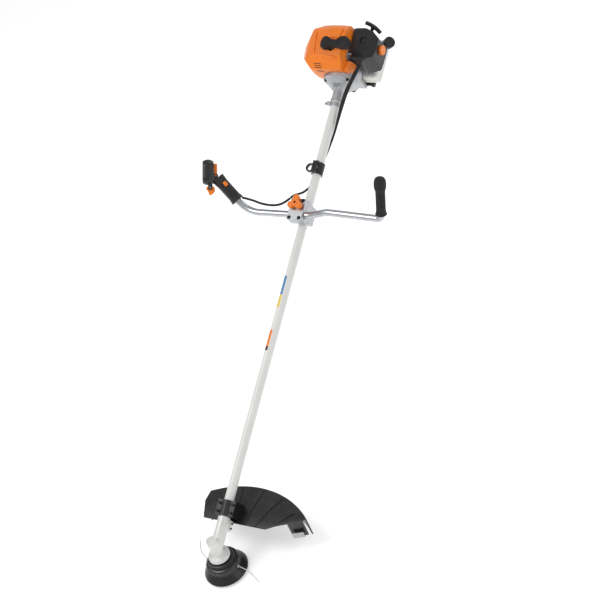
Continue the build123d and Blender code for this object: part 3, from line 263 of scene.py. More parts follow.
def make_dust_group():
    """Dust and dried clippings that lie on what faces up, in cloudy patches with specks."""
    tree, entry, result = new_group(
        "Dust", [("Vector", "Vector", None), ("Amount", "Float", 0.3), ("Scale", "Float", 40.0)],
        [("Mask", "Float")])
    facing = add(tree, "NewGeometry")
    split = add(tree, "SeparateXYZ")
    tree.links.new(facing.outputs["Normal"], split.inputs[0])
    upward = remap(tree, split.outputs["Z"], -0.2, 1.0, 0.15, 1.0)
    cloud = remap(tree, noise(tree, entry.outputs["Vector"], entry.outputs["Scale"], 6.0, 0.7), 0.42, 0.75)
    specks = remap(tree, noise(tree, entry.outputs["Vector"],
                               maths(tree, "MULTIPLY", entry.outputs["Scale"], 18.0), 2.0), 0.66, 0.74)
    lying = maths(tree, "ADD", cloud, maths(tree, "MULTIPLY", specks, 0.6))
    mask = maths(tree, "MULTIPLY", maths(tree, "MULTIPLY", lying, upward), entry.outputs["Amount"],
                 clamp=True)
    tree.links.new(mask, result.inputs["Mask"])
    return tree


def make_streak_group():
    """Fine scratches drawn out along the vector's z, as on turned, drawn or brushed metal."""
    tree, entry, result = new_group(
        "Drawn streaks",
        [("Vector", "Vector", None), ("Density", "Float", 900.0), ("Stretch", "Float", 0.02)],
        [("Height", "Float"), ("Mask", "Float")])
    stretch = add(tree, "CombineXYZ")
    stretch.inputs[0].default_value = 1.0
    stretch.inputs[1].default_value = 1.0
    tree.links.new(entry.outputs["Stretch"], stretch.inputs[2])
    scaled = add(tree, "VectorMath", operation="MULTIPLY")
    tree.links.new(entry.outputs["Vector"], scaled.inputs[0])
    tree.links.new(stretch.outputs[0], scaled.inputs[1])
    lines = noise(tree, scaled.outputs[0], entry.outputs["Density"], 4.0, 0.6)
    tree.links.new(lines, result.inputs["Height"])
    tree.links.new(remap(tree, lines, 0.58, 0.78), result.inputs["Mask"])
    return tree


GROUPS = {}
MATERIALS = {}


def place_group(tree, name, **values):
    node = add(tree, "Group", node_tree=GROUPS[name])
    return feed(tree, node, **values)


def opaque(rgb, factor=1.0):
    return (min(rgb[0] * factor, 1.0), min(rgb[1] * factor, 1.0), min(rgb[2] * factor, 1.0), 1.0)


class Finish:
    """One material in the making: its tree, its shader and the placed Object coordinates."""

    def __init__(self, name, turn=None, **constants):
        self.material = bpy.data.materials.new(name)
        self.material.use_nodes = True
        self.tree = self.material.node_tree
        self.tree.nodes.clear()
        output = add(self.tree, "OutputMaterial")
        self.shader = add(self.tree, "BsdfPrincipled")
        self.tree.links.new(self.shader.outputs["BSDF"], output.inputs["Surface"])
        mapping = add(self.tree, "Mapping", vector_type="TEXTURE")
        if turn is not None:
            mapping.inputs["Location"].default_value = turn.translation
            mapping.inputs["Rotation"].default_value = turn.to_euler()
        self.tree.links.new(add(self.tree, "TexCoord").outputs["Object"], mapping.inputs["Vector"])
        self.vector = mapping.outputs["Vector"]
        feed(self.tree, self.shader, **constants)
        MATERIALS[name] = self.material

    def grain(self, strength, scale, fine, broad, roughness, spread, distance=0.2 * MM):
        group = place_group(self.tree, "Surface grain", Vector=self.vector, Scale=scale, Fine=fine,
                            Broad=broad, Roughness=roughness, Spread=spread)
        bump = feed(self.tree, add(self.tree, "Bump"), Strength=strength, Distance=distance,
                    Height=group.outputs["Height"])
        feed(self.tree, self.shader, Normal=bump.outputs["Normal"])
        return group.outputs["Roughness"]

    def wear(self, reach, amount):
        return place_group(self.tree, "Edge wear", Vector=self.vector, Reach=reach,
                           Amount=amount).outputs["Mask"]

    def dust(self, amount, scale=40.0):
        return place_group(self.tree, "Dust", Vector=self.vector, Amount=amount, Scale=scale).outputs["Mask"]

    def uneven(self, rgb, scale, spread):
        """A colour that drifts a little darker and lighter across the piece."""
        drift = remap(self.tree, noise(self.tree, self.vector, scale, 3.0), 0.3, 0.7)
        return mixed(self.tree, drift, opaque(rgb, 1.0 - spread), opaque(rgb, 1.0 + spread))

    def set_colour(self, value):
        feed(self.tree, self.shader, Base_Color=value)

    def set_roughness(self, value):
        feed(self.tree, self.shader, Roughness=value)


# ---- finishes ----------------------------------------------------------------------------------
def plastic(name, rgb, gloss, grain_scale, grain_depth, edge_share, dust_share, drift=0.05):
    """Moulded plastic: fine grain, paler rubbed edges and a little dust."""
    finish = Finish(name, Specular_IOR_Level=0.5)
    roughness = finish.grain(grain_depth, grain_scale, 0.5, 0.4, gloss, 0.12)
    body = finish.uneven(rgb, 22.0, drift)
    pale = [channel * 0.7 + 0.18 for channel in rgb]
    worn = mixed(finish.tree, finish.wear(1.1 * MM, edge_share), body, opaque(pale))
    dusty = finish.dust(dust_share)
    finish.set_colour(mixed(finish.tree, dusty, worn, opaque(colours().dust)))
    dull = maths(finish.tree, "MULTIPLY", dusty, 0.35)
    finish.set_roughness(maths(finish.tree, "ADD", roughness, dull, True))
    return finish.material


def cast_metal(name, rgb, metallic, gloss, depth, edge_share):
    """Die-cast skin: sandy grain, soft flow patches and brighter rubbed edges."""
    finish = Finish(name, Metallic=metallic, Specular_IOR_Level=0.5)
    roughness = finish.grain(depth, 700.0, 0.7, 0.5, gloss, 0.22, 0.3 * MM)
    body = finish.uneven(rgb, 35.0, 0.09)
    bright = mixed(finish.tree, finish.wear(0.9 * MM, edge_share), body, opaque(rgb, 1.45))
    grime = finish.dust(0.10, 55.0)
    finish.set_colour(mixed(finish.tree, grime, bright, opaque(colours().dust, 0.55)))
    finish.set_roughness(roughness)
    return finish.material


def machined(name, rgb, gloss):
    """Turned or ground steel with fine tool marks."""
    finish = Finish(name, Metallic=1.0)
    streak = place_group(finish.tree, "Drawn streaks", Vector=finish.vector, Density=1400.0, Stretch=0.05)
    bump = feed(finish.tree, add(finish.tree, "Bump"), Strength=0.12, Distance=0.05 * MM,
                Height=streak.outputs["Height"])
    feed(finish.tree, finish.shader, Normal=bump.outputs["Normal"])
    body = finish.uneven(rgb, 60.0, 0.10)
    finish.set_colour(mixed(finish.tree, streak.outputs["Mask"], body, opaque(rgb, 1.35)))
    finish.set_roughness(remap(finish.tree, streak.outputs["Height"], 0.2, 0.8, gloss - 0.07, gloss + 0.12))
    return finish.material


BANDS = (
    (-414.0, -354.0, "band_blue"),
    (-455.5, -415.5, "band_yellow"),
    (-577.5, -525.5, "shell"),
    (-590.0, -577.5, "black"),
)


def tube_paint():
    """Satin enamel with faint orange peel, scuffs, and four plain painted bands on the left half."""
    finish = Finish("Tube enamel", TUBE, Specular_IOR_Level=0.5, Coat_Weight=0.15, Coat_Roughness=0.2)
    tree = finish.tree
    roughness = finish.grain(0.10, 420.0, 0.25, 0.9, 0.34, 0.10, 0.12 * MM)
    body = finish.uneven(colours().enamel, 9.0, 0.035)
    split = add(tree, "SeparateXYZ")
    tree.links.new(finish.vector, split.inputs[0])
    side = remap(tree, split.outputs["X"], 1.6 * MM, 1.2 * MM)
    for low, high, name in BANDS:
        above = remap(tree, split.outputs["Z"], (low - 0.2) * MM, (low + 0.2) * MM)
        below = remap(tree, split.outputs["Z"], (high + 0.2) * MM, (high - 0.2) * MM)
        share = maths(tree, "MULTIPLY", maths(tree, "MULTIPLY", above, below), side)
        body = mixed(tree, share, body, opaque(getattr(colours(), name)))
    streak = place_group(tree, "Drawn streaks", Vector=finish.vector, Density=260.0, Stretch=0.16)
    scuff = maths(tree, "MULTIPLY", streak.outputs["Mask"], 0.16)
    body = mixed(tree, scuff, body, opaque((0.52, 0.51, 0.49)))
    dusty = finish.dust(0.05, 30.0)
    finish.set_colour(mixed(tree, dusty, body, opaque(colours().dust)))
    finish.set_roughness(maths(tree, "ADD", roughness, maths(tree, "MULTIPLY", dusty, 0.3), True))
    return finish.material


def tank_plastic():
    """Milky blow-moulded plastic, with the fuel inside showing as a warmer lower part."""
    finish = Finish("Tank plastic", TUBE, Subsurface_Weight=0.35, Subsurface_Scale=0.012,
                    Specular_IOR_Level=0.5)
    finish.shader.inputs["Subsurface Radius"].default_value = (1.0, 0.95, 0.8)
    tree = finish.tree
    roughness = finish.grain(0.10, 500.0, 0.3, 0.8, 0.33, 0.12, 0.15 * MM)
    level = add(tree, "SeparateXYZ")
    tree.links.new(add(tree, "TexCoord").outputs["Object"], level.inputs[0])
    fuel_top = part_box("fuel_tank")[0].z * 0.62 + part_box("fuel_tank")[1].z * 0.38
    wet = remap(tree, level.outputs["Z"], fuel_top + 1.5 * MM, fuel_top - 1.5 * MM)
    body = finish.uneven(colours().tank, 18.0, 0.04)
    body = mixed(tree, maths(tree, "MULTIPLY", wet, 0.45), body, opaque((0.74, 0.70, 0.56)))
    grime = finish.dust(0.07, 45.0)
    finish.set_colour(mixed(tree, grime, body, opaque(colours().dust, 0.8)))
    finish.set_roughness(roughness)
    return finish.material


def rubber(name, rgb, grain_depth):
    finish = Finish(name, Specular_IOR_Level=0.35)
    roughness = finish.grain(grain_depth, 1100.0, 0.8, 0.3, 0.66, 0.14)
    body = finish.uneven(rgb, 30.0, 0.12)
    dusty = finish.dust(0.04, 60.0)
    worn = mixed(finish.tree, finish.wear(1.4 * MM, 0.2), body, opaque([c + 0.05 for c in rgb]))
    finish.set_colour(mixed(finish.tree, dusty, worn, opaque(colours().dust, 0.6)))
    finish.set_roughness(roughness)
    return finish.material


def scorched_steel():
    finish = Finish("Scorched steel", Metallic=0.8)
    roughness = finish.grain(0.35, 600.0, 0.7, 0.5, 0.6, 0.25)
    patch = remap(finish.tree, noise(finish.tree, finish.vector, 70.0, 6.0, 0.65), 0.35, 0.7)
    finish.set_colour(mixed(finish.tree, patch, opaque((0.05, 0.045, 0.04)), opaque((0.16, 0.12, 0.09))))
    finish.set_roughness(roughness)
    return finish.material


def foam():
    finish = Finish("Filter foam", Specular_IOR_Level=0.2)
    tree = finish.tree
    cells = feed(tree, add(tree, "TexVoronoi"), Vector=finish.vector, Scale=700.0)
    bump = feed(tree, add(tree, "Bump"), Strength=0.9, Distance=0.5 * MM, Height=cells.outputs["Distance"])
    feed(tree, finish.shader, Normal=bump.outputs["Normal"])
    open_cell = remap(tree, cells.outputs["Distance"], 0.1, 0.6)
    finish.set_colour(mixed(tree, open_cell, opaque((0.03, 0.03, 0.03)), opaque((0.10, 0.10, 0.10))))
    finish.set_roughness(remap(tree, cells.outputs["Distance"], 0.0, 0.7, 0.95, 0.8))
    return finish.material


def braid():
    finish = Finish("Starter rope", Specular_IOR_Level=0.3)
    tree = finish.tree
    twill = feed(tree, add(tree, "TexWave", wave_type="BANDS", bands_direction="DIAGONAL"),
                 Vector=finish.vector, Scale=420.0, Distortion=1.5, Detail=1.0)
    bump = feed(tree, add(tree, "Bump"), Strength=0.8, Distance=0.4 * MM, Height=twill.outputs["Fac"])
    feed(tree, finish.shader, Normal=bump.outputs["Normal"])
    finish.set_colour(mixed(tree, twill.outputs["Fac"], opaque((0.38, 0.37, 0.34)),
                            opaque((0.72, 0.71, 0.67))))
    finish.set_roughness(remap(tree, twill.outputs["Fac"], 0.0, 1.0, 0.9, 0.75))
    return finish.material


def nylon_line():
    finish = Finish("Cutting line", Transmission_Weight=0.25, Specular_IOR_Level=0.5)
    tree = finish.tree
    roughness = finish.grain(0.2, 1500.0, 0.4, 0.3, 0.28, 0.12)
    drift = remap(tree, noise(tree, finish.vector, 90.0, 4.0), 0.35, 0.7)
    finish.set_colour(mixed(tree, drift, opaque((0.72, 0.73, 0.71)), opaque((0.90, 0.91, 0.90))))
    finish.set_roughness(roughness)
    return finish.material


def make_finishes():
    GROUPS["Surface grain"] = make_grain_group()
    GROUPS["Edge wear"] = make_edge_group()
    GROUPS["Dust"] = make_dust_group()
    GROUPS["Drawn streaks"] = make_streak_group()
    tint = colours()
    tube_paint()
    tank_plastic()
    plastic("Orange shell", tint.shell, 0.34, 620.0, 0.08, 0.16, 0.025, 0.03)
    plastic("Satin black", tint.black, 0.30, 700.0, 0.10, 0.20, 0.035, 0.10)
    plastic("Black plastic", tint.black, 0.42, 800.0, 0.20, 0.18, 0.03, 0.12)
    cast_metal("Cast housing", tint.casting, 0.75, 0.50, 0.45, 0.55)
    cast_metal("Pale casting", tint.pale_casting, 0.25, 0.46, 0.30, 0.30)
    cast_metal("Bead blasted", (0.50, 0.51, 0.53), 0.85, 0.42, 0.35, 0.5)
    machined("Machined steel", tint.steel, 0.34)
    machined("Black screw", (0.035, 0.035, 0.037), 0.40)
    machined("Anodised tube", tint.anodised, 0.30)
    rubber("Grip rubber", tint.rubber, 0.30)
    rubber("Cable sleeve", tint.rubber, 0.15)
    scorched_steel()
    foam()
    braid()
    nylon_line()


FINISH_OF_SLOT = {
    "tube": "Tube enamel", "castings": "Cast housing", "steel": "Machined steel",
    "handlebar_metal": "Anodised tube", "orange_plastic": "Orange shell", "black_plastic": "Black plastic",
    "bushing_rubber": "Grip rubber", "grip_rubber": "Grip rubber", "cable_jacket": "Cable sleeve",
    "tank_plastic": "Tank plastic", "filter_foam": "Filter foam", "nylon_line": "Cutting line",
    "rope": "Starter rope",
}


# ---- mesh helpers ------------------------------------------------------------------------------
LONG_EDGE = 5.0
SHORT_EDGE_SHARE = 0.25


def longer_than(width):
    """Picks the edges that have room for a rounding of a width."""
    return lambda edge: edge.calc_length() > width * LONG_EDGE


def dress(obj, finish):
    obj.data.materials.clear()
    obj.data.materials.append(MATERIALS[finish])


def piece_from(bm, name, finish, body, replaced=(), matrix=None, crease=32.0, keep_normals=False):
    """Turns a bmesh into a finished piece that rides on a body."""
    if matrix is not None:
        bmesh.ops.transform(bm, matrix=matrix, verts=bm.verts)
    if not keep_normals:
        bmesh.ops.recalc_face_normals(bm, faces=bm.faces)
    mesh = bpy.data.meshes.new(name)
    bm.to_mesh(mesh)
    bm.free()
    for face in mesh.polygons:
        face.use_smooth = True
    mesh.set_sharp_from_angle(angle=math.radians(crease))
    obj = bpy.data.objects.new(name, mesh)
    bpy.context.scene.collection.objects.link(obj)
    weighted = obj.modifiers.new("Even shading", "WEIGHTED_NORMAL")
    weighted.keep_sharp = True
    dress(obj, finish)
    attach(obj, body)
    if replaced:
        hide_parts(*replaced)
    return obj


def round_edges(bm, width, segments=2, sharper_than=30.0, chosen=None):
    """Rounds the edges that turn more sharply than an angle, or only those that are chosen."""
    edges = []
    for edge in bm.edges:
        if len(edge.link_faces) != 2:
            continue
        if edge.calc_face_angle(0.0) < math.radians(sharper_than):
            continue
        if chosen is None or chosen(edge):
            edges.append(edge)
    if edges:
        bmesh.ops.bevel(bm, geom=edges, offset=width, offset_type="OFFSET", segments=segments,
                        profile=0.5, affect="EDGES", clamp_overlap=True, material=-1)


def refined(node, name, finish, width, segments=2, sharper_than=30.0, alter=None):
    """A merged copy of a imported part, its long edges rounded and its short ones broken."""
    bm = bmesh.new()
    bm.from_mesh(NODES[node].data)
    bmesh.ops.remove_doubles(bm, verts=bm.verts, dist=0.004 * MM)
    bmesh.ops.dissolve_limit(bm, angle_limit=math.radians(0.8), use_dissolve_boundaries=False,
                             verts=bm.verts, edges=bm.edges, delimit=set())
    if alter is not None:
        alter(bm)
    round_edges(bm, width, segments, sharper_than, longer_than(width))
    round_edges(bm, width * SHORT_EDGE_SHARE, 1, sharper_than + 10.0)
    return piece_from(bm, name, finish, BODY_OF[node], (node,), keep_normals=True)


def refine_all(rows):
    for node, name, finish, width, segments in rows:
        refined(node, name, finish, width, segments)


def brick(bm, low, high):
    """A block between two corners."""
    made = bmesh.ops.create_cube(bm, size=1.0)["verts"]
    bmesh.ops.scale(bm, vec=Vector(high) - Vector(low), verts=made)
    bmesh.ops.translate(bm, vec=(Vector(low) + Vector(high)) / 2.0, verts=made)
    return made


def bar(bm, radius, start, end, sides=32, end_radius=None):
    """A round bar or taper from start to end."""
    line = Vector(end) - Vector(start)
    made = bmesh.ops.create_cone(bm, cap_ends=True, segments=sides, radius1=radius,
                                 radius2=radius if end_radius is None else end_radius,
                                 depth=line.length)["verts"]
    middle = Matrix.Translation((Vector(start) + Vector(end)) / 2.0)
    turn = line.to_track_quat("Z", "Y").to_matrix().to_4x4()
    bmesh.ops.transform(bm, matrix=middle @ turn, verts=made)


def lathe(bm, profile, steps, place=None):
    """Spins an outline of (radius, height) round z, and then moves it to its place."""
    before = set(bm.verts)
    verts = [bm.verts.new((radius, 0.0, height)) for radius, height in profile]
    edges = [bm.edges.new(pair) for pair in zip(verts, verts[1:])]
    bmesh.ops.spin(bm, geom=verts + edges, axis=(0, 0, 1), cent=(0, 0, 0), dvec=(0, 0, 0),
                   angle=2.0 * math.pi, steps=steps, use_merge=True, use_duplicate=False)
    bmesh.ops.remove_doubles(bm, verts=bm.verts, dist=0.001)
    if place is not None:
        bmesh.ops.transform(bm, matrix=place, verts=[vert for vert in bm.verts if vert not in before])


def slab(bm, outline, low, high):
    """An outline in x and z, extruded along y from low to high."""
    face = bm.faces.new([bm.verts.new((x, low, z)) for x, z in outline])
    grown = bmesh.ops.extrude_face_region(bm, geom=[face])["geom"]
    lifted = [item for item in grown if isinstance(item, bmesh.types.BMVert)]
    bmesh.ops.translate(bm, vec=(0.0, high - low, 0.0), verts=lifted)


def cut_across(bm, place, way):
    bmesh.ops.bisect_plane(bm, geom=bm.verts[:] + bm.edges[:] + bm.faces[:], dist=0.01, plane_co=place,
                           plane_no=way)


def span(places):
    """The centre and half size of the box round some places."""
    low = Vector([min(place[axis] for place in places) for axis in range(3)])
    high = Vector([max(place[axis] for place in places) for axis in range(3)])
    return (low + high) / 2.0, (high - low) / 2.0


def line_frame(origin, way, side):
    """Axes with z along way and x as near side as it can be, in the parent's own units."""
    z_way = Vector(way).normalized()
    x_way = (Vector(side) - z_way * Vector(side).dot(z_way)).normalized()
    return axes_matrix(Vector(origin), x_way, z_way.cross(x_way), z_way, 1.0)


# ---- operators: one for each group of pieces ---------------------------------------------------
class TRIMMER_OT_finishes(bpy.types.Operator):
    """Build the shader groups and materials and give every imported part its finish"""
    bl_idname = "trimmer.finishes"
    bl_label = "Finishes"

    def execute(self, context):
        make_finishes()
        for node, slot in SLOT_OF.items():
            dress(NODES[node], FINISH_OF_SLOT[slot])
        dress(NODES["muffler"], "Scorched steel")
        dress(NODES["gearbox_housing"], "Pale casting")
        dress(NODES["gearbox_cap"], "Pale casting")
        return {"FINISHED"}


class TRIMMER_OT_castings(bpy.types.Operator):
    """Round the edges of the cast housings and clamps"""
    bl_idname = "trimmer.castings"
    bl_label = "Castings"

    def execute(self, context):
        width = sizes().casting_round
        for node, finish in (("clutch_housing", "Cast housing"), ("crankcase", "Cast housing"),
                             ("collar_ring", "Cast housing"), ("bar_bracket", "Bead blasted"),
                             ("bar_carrier", "Bead blasted"), ("bar_cap", "Bead blasted"),
                             ("gearbox_housing", "Pale casting"), ("gearbox_cap", "Pale casting")):
            refined(node, node + "_cast", finish, width)
        return {"FINISHED"}


class TRIMMER_OT_screws(bpy.types.Operator):
    """Break the edges of the blackened screws"""
    bl_idname = "trimmer.screws"
    bl_label = "Screws"

    def execute(self, context):
        refine_all([("case_screws", "socket_screws", "Black screw", 0.35 * MM, 2)])
        return {"FINISHED"}


HEAD_OUTLINE = (
    (5.2, -35), (33, -35), (38.5, -36.5), (40, -39), (40, -46), (41, -47.5), (46.5, -49), (49, -52),
    (49, -70),
    (50.5, -72.5), (55, -76), (61.5, -82.5), (65.2, -86.6), (66, -88.2), (65.6, -90), (63.5, -90),
    (58, -84.5),
    (47.5, -78), (43.5, -76), (43, -73), (43, -51), (40, -50), (5.2, -50), (5.2, -35),
)
EYELET_OUTLINE = ((2.1, 0.0), (4.6, 0.0), (5.0, 0.5), (4.6, 1.5), (3.4, 2.4), (2.1, 2.4), (2.1, 0.0))
EYELET_X = 49.2
EYELET_Z = -66.0
HEAD_RIBS = 18


class TRIMMER_OT_head(bpy.types.Operator):
    """Line head: stepped drum with ribs, a wide rim and two metal eyelets"""
    bl_idname = "trimmer.head"
    bl_label = "Line head"

    def execute(self, context):
        bm = bmesh.new()
        lathe(bm, HEAD_OUTLINE, 96)
        piece_from(bm, "head_shell", "Satin black", "head", ("head_housing",), HEAD, 24.0)

        ribs = bmesh.new()
        for index in range(HEAD_RIBS):
            made = brick(ribs, (48.4, -1.3, -71.5), (50.4, 1.3, -52.5))
            turn = Matrix.Rotation(math.radians((index + 0.5) * 360 / HEAD_RIBS), 3, "Z")
            bmesh.ops.rotate(ribs, cent=(0, 0, 0), matrix=turn, verts=made)
        round_edges(ribs, 0.6)
        piece_from(ribs, "head_ribs", "Satin black", "head", (), HEAD)

        eyelets = bmesh.new()
        for side in (-1, 1):
            turn = Matrix.Rotation(math.radians(90 * side), 4, "Y")
            lathe(eyelets, EYELET_OUTLINE, 32, Matrix.Translation((side * EYELET_X, 0, EYELET_Z)) @ turn)
        piece_from(eyelets, "line_eyelets", "Machined steel", "head", (), HEAD)

        refined("spool", "bump_knob", "Black plastic", 1.2 * MM, 3)
        return {"FINISHED"}


class TRIMMER_OT_lines(bpy.types.Operator):
    """Two free ends of cutting line, each one smooth curve out of its eyelet"""
    bl_idname = "trimmer.lines"
    bl_label = "Cutting lines"

    def execute(self, context):
        x = 51.6
        low = EYELET_Z
        right = [(x, 0, low), (x + 26, -4, low - 1), (x + 54, -15, low - 3), (x + 82, -32, low - 6)]
        left = [(-x, 0, low), (-x - 24, 9, low + 2), (-x - 44, 27, low + 5), (-x - 56, 51, low + 9)]
        for name, points, length in (("cutting_line_a", right, 0.0892), ("cutting_line_b", left, 0.0794)):
            line = smooth_curve(name + "_free", [HEAD @ Vector(point) for point in points],
                                sizes().line_width / 2.0, "Cutting line")
            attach(line, "head")
            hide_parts(name)
        return {"FINISHED"}


def smooth_curve(name, points, radius, finish):
    """A round bar along a NURBS line whose control points are the route's points."""
    data = bpy.data.curves.new(name, "CURVE")
    data.dimensions = "3D"
    spline = data.splines.new("NURBS")
    spline.points.add(len(points) - 1)
    for point, place in zip(spline.points, points):
        point.co = (*place, 1.0)
    spline.order_u = 3
    spline.use_endpoint_u = True
    data.bevel_depth = radius
    data.bevel_resolution = 6
    data.resolution_u = 16
    data.use_fill_caps = True
    data.materials.append(MATERIALS[finish])
    obj = bpy.data.objects.new(name, data)
    bpy.context.scene.collection.objects.link(obj)
    return obj


LOOM_SWELLS = (1.35, 1.8, 1.85, 1.85, 1.6)


class TRIMMER_OT_cables(bpy.types.Operator):
    """Throttle cable in its sleeve, bent across the two handlebar joints"""
    bl_idname = "trimmer.cables"
    bl_label = "Throttle cable"

    def execute(self, context):
        radius = sizes().cable_width / 2.0
        way = at(-0.635, 0.569, 0.523).normalized()
        side = at(0.65, 0.03, 0.76)
        side = (side - way * side.dot(way)).normalized()
        handle_start = at(-178, 45, -170) + way * 46
        front = [handle_start - way * 2.5 + side * 16, at(-168, 61, -136), at(-124, 62, -149),
                 at(-79, 62, -152), at(-48, 62, -143), at(-32, 60, -124)]
        rear = [at(-31, 58.4, -121.1), at(-31, 46, -107), at(-30, 24, -94), at(-27, 0, -76),
                at(-20, -18, -46),
                at(-11, -27, -8), at(-7, -28, 36), at(2, -24, 82), at(15, -12, 126), at(24, 3, 168),
                at(33, 17, 210), at(44, 31, 250), at(63, 45, 292), at(76, 46, 337.5)]
        for name, points, ends, swells in (("cable_front", front, ("carrier", "bar", -1, 1), ()),
                                           ("cable_rear", rear, ("carrier", "trimmer", 0, 3), LOOM_SWELLS)):
            places = [TUBE @ point for point in points]
            sleeve = smooth_curve(name + "_sleeve", places, radius, "Cable sleeve")
            thicker = sleeve.data.splines[0].points[len(points) - len(swells):]
            for point, swell in zip(thicker, swells):
                point.radius = swell
            bpy.context.view_layer.update()
            mesh = bpy.data.meshes.new_from_object(sleeve)
            bpy.data.objects.remove(sleeve)
            for face in mesh.polygons:
                face.use_smooth = True
            solid = bpy.data.objects.new(name + "_sleeve", mesh)
            bpy.context.scene.collection.objects.link(solid)
            dress(solid, "Cable sleeve")
            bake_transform(solid)
            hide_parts(name)
        return {"FINISHED"}


class TRIMMER_OT_guard(bpy.types.Operator):
    """Guard: thin moulded deck with ribs and a turned-down skirt"""
    bl_idname = "trimmer.guard"
    bl_label = "Guard"

    def execute(self, context):
        refine_all([("shield", "guard_deck", "Satin black", 0.7 * MM, 2),
                    ("shield_clamp", "guard_clamp", "Black plastic", 1.2 * MM, 3),
                    ("line_cutter", "cutter_blade", "Machined steel", 0.3 * MM, 2)])
        return {"FINISHED"}


GRIP_WAY = Vector((0.7507, -0.0564, -0.6559))
GRIP_BEND = 95.0
GRIP_HALF_ARC = 17.5
GRIP_SIDES = 24


def pull_handle():
    """Bowed grip: a rounded bar swept round a wide arc, with a stem for the rope."""
    pull = Vector(JOINTS["starter_pull"]["axis"]).normalized()
    along_bar = (GRIP_WAY - pull * GRIP_WAY.dot(pull)).normalized()
    box_low, box_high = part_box("starter_grip")
    middle = (box_low + box_high) / 2.0 + pull * 4.0 * MM
    bm = bmesh.new()
    section = []
    for index in range(GRIP_SIDES):
        angle = 2.0 * math.pi * index / GRIP_SIDES
        wide, tall = (math.copysign(abs(part) ** 0.7, part) for part in (math.cos(angle), math.sin(angle)))
        section.append(bm.verts.new((0.0, wide * 7.5, tall * 6.0)))
    bm.faces.new(section)
    below = (0, 0, -GRIP_BEND)
    bmesh.ops.rotate(bm, cent=below, matrix=Matrix.Rotation(math.radians(-GRIP_HALF_ARC), 3, "Y"),
                     verts=bm.verts)
    bmesh.ops.spin(bm, geom=bm.verts[:] + bm.edges[:] + bm.faces[:], cent=below, axis=(0, 1, 0),
                   dvec=(0, 0, 0), angle=math.radians(2 * GRIP_HALF_ARC), steps=22, use_merge=False,
                   use_duplicate=False)
    bmesh.ops.remove_doubles(bm, verts=bm.verts, dist=0.01)
    round_edges(bm, 1.8, 3, 50.0)
    bar(bm, 5.0, (0, 0, -13.5), (0, 0, -2), 28, 8.0)
    piece_from(bm, "pull_handle", "Satin black", "pull_grip", ("starter_grip",),
               axes_matrix(middle, along_bar, pull.cross(along_bar), pull))


BOOT_OUTLINE = (
    (-31, -20), (-27, -24), (-14, -24), (-6, -19), (4, -17), (14, -17), (26, -20), (38, -24), (58, -24),
    (64, -19), (65, -8), (62, 6), (54, 14), (38, 15), (28, 11), (16, 6), (2, 6), (-6, 11), (-16, 15),
    (-24, 14), (-30, 8), (-33, -6),
)
BOOT_TOP = 129.0
BOOT_DEPTH = 25.0
BOOT_Z = 376.0
WAIST_X = 11.0
WAIST_REACH = 13.0
WAIST_DROP = 6.5


def plug_cover():
    """Rubber boot: two lobes joined by a waist, lying across the top of the shell."""
    bm = bmesh.new()
    slab(bm, [(x, z + BOOT_Z) for x, z in BOOT_OUTLINE], -BOOT_TOP, BOOT_DEPTH - BOOT_TOP)
    for vert in bm.verts:
        if vert.co.y < BOOT_DEPTH / 2.0 - BOOT_TOP:
            vert.co.y += WAIST_DROP * math.exp(-((vert.co.x - WAIST_X) / WAIST_REACH) ** 2)
    round_edges(bm, 5.5, 5, 40.0)
    piece_from(bm, "plug_cover", "Grip rubber", BODY_OF["plug_boot"], ("plug_boot",),
               TUBE)


def pulled_in(place, centre, half, share):
    """Where a place in a box goes when the box is rounded towards a ball by a share."""
    unit = [(place[axis] - centre[axis]) / half[axis] for axis in range(3)]
    moved = Vector(centre)
    for axis in range(3):
        first = unit[(axis + 1) % 3] ** 2
        second = unit[(axis + 2) % 3] ** 2
        pulled = math.sqrt(max(0.0, 1.0 - share * ((first + second) / 2.0 - first * second / 3.0)))
        moved[axis] += half[axis] * unit[axis] * pulled
    return moved


SHELL_SHARE = 0.34
SHELL_ROUND = 5.0
CUT_STEP = 10.0
SHELL_RIDGES = (
    (((-88, 352), (-17, 331), (24, 320), (25, 324), (-16, 335), (-87, 356)), 107.6),
    (((-12, 398), (22, 398), (26, 434), (-16, 434)), 109.6),
    (((-64, 340), (-60, 338.5), (-72, 420), (-76, 420)), 108.6),
)
RIDGE_DEPTH = 6.0
SLOPE_FOOT = Vector((-52.0, -76.0, 303.0))
SLOPE_WAY = Vector((0.0, -28.0, 30.0)).normalized()
SLOPE_OUT = Vector((0.0, -30.0, -28.0)).normalized()
FRONT_TOP = Vector((-52.0, -86.0, 303.0))
SLOT_SHADE_SHIFT = 1.5


def soften_shell(bm):
    """Rounds the shell's main edges, cuts it finely and pulls its corners in."""
    bmesh.ops.transform(bm, matrix=TUBE.inverted(), verts=bm.verts)
    round_edges(bm, SHELL_ROUND, 3, 28.0, longer_than(SHELL_ROUND))
    centre, half = span([vert.co for vert in bm.verts])
    for axis in range(3):
        count = int(2.0 * half[axis] / CUT_STEP)
        way = Vector((0, 0, 0))
        way[axis] = 1.0
        for index in range(1, count):
            cut_across(bm, centre + half * (2.0 * index / count - 1.0), way)
    for vert in bm.verts:
        vert.co = pulled_in(vert.co, centre, half, SHELL_SHARE)
    bmesh.ops.transform(bm, matrix=TUBE, verts=bm.verts)


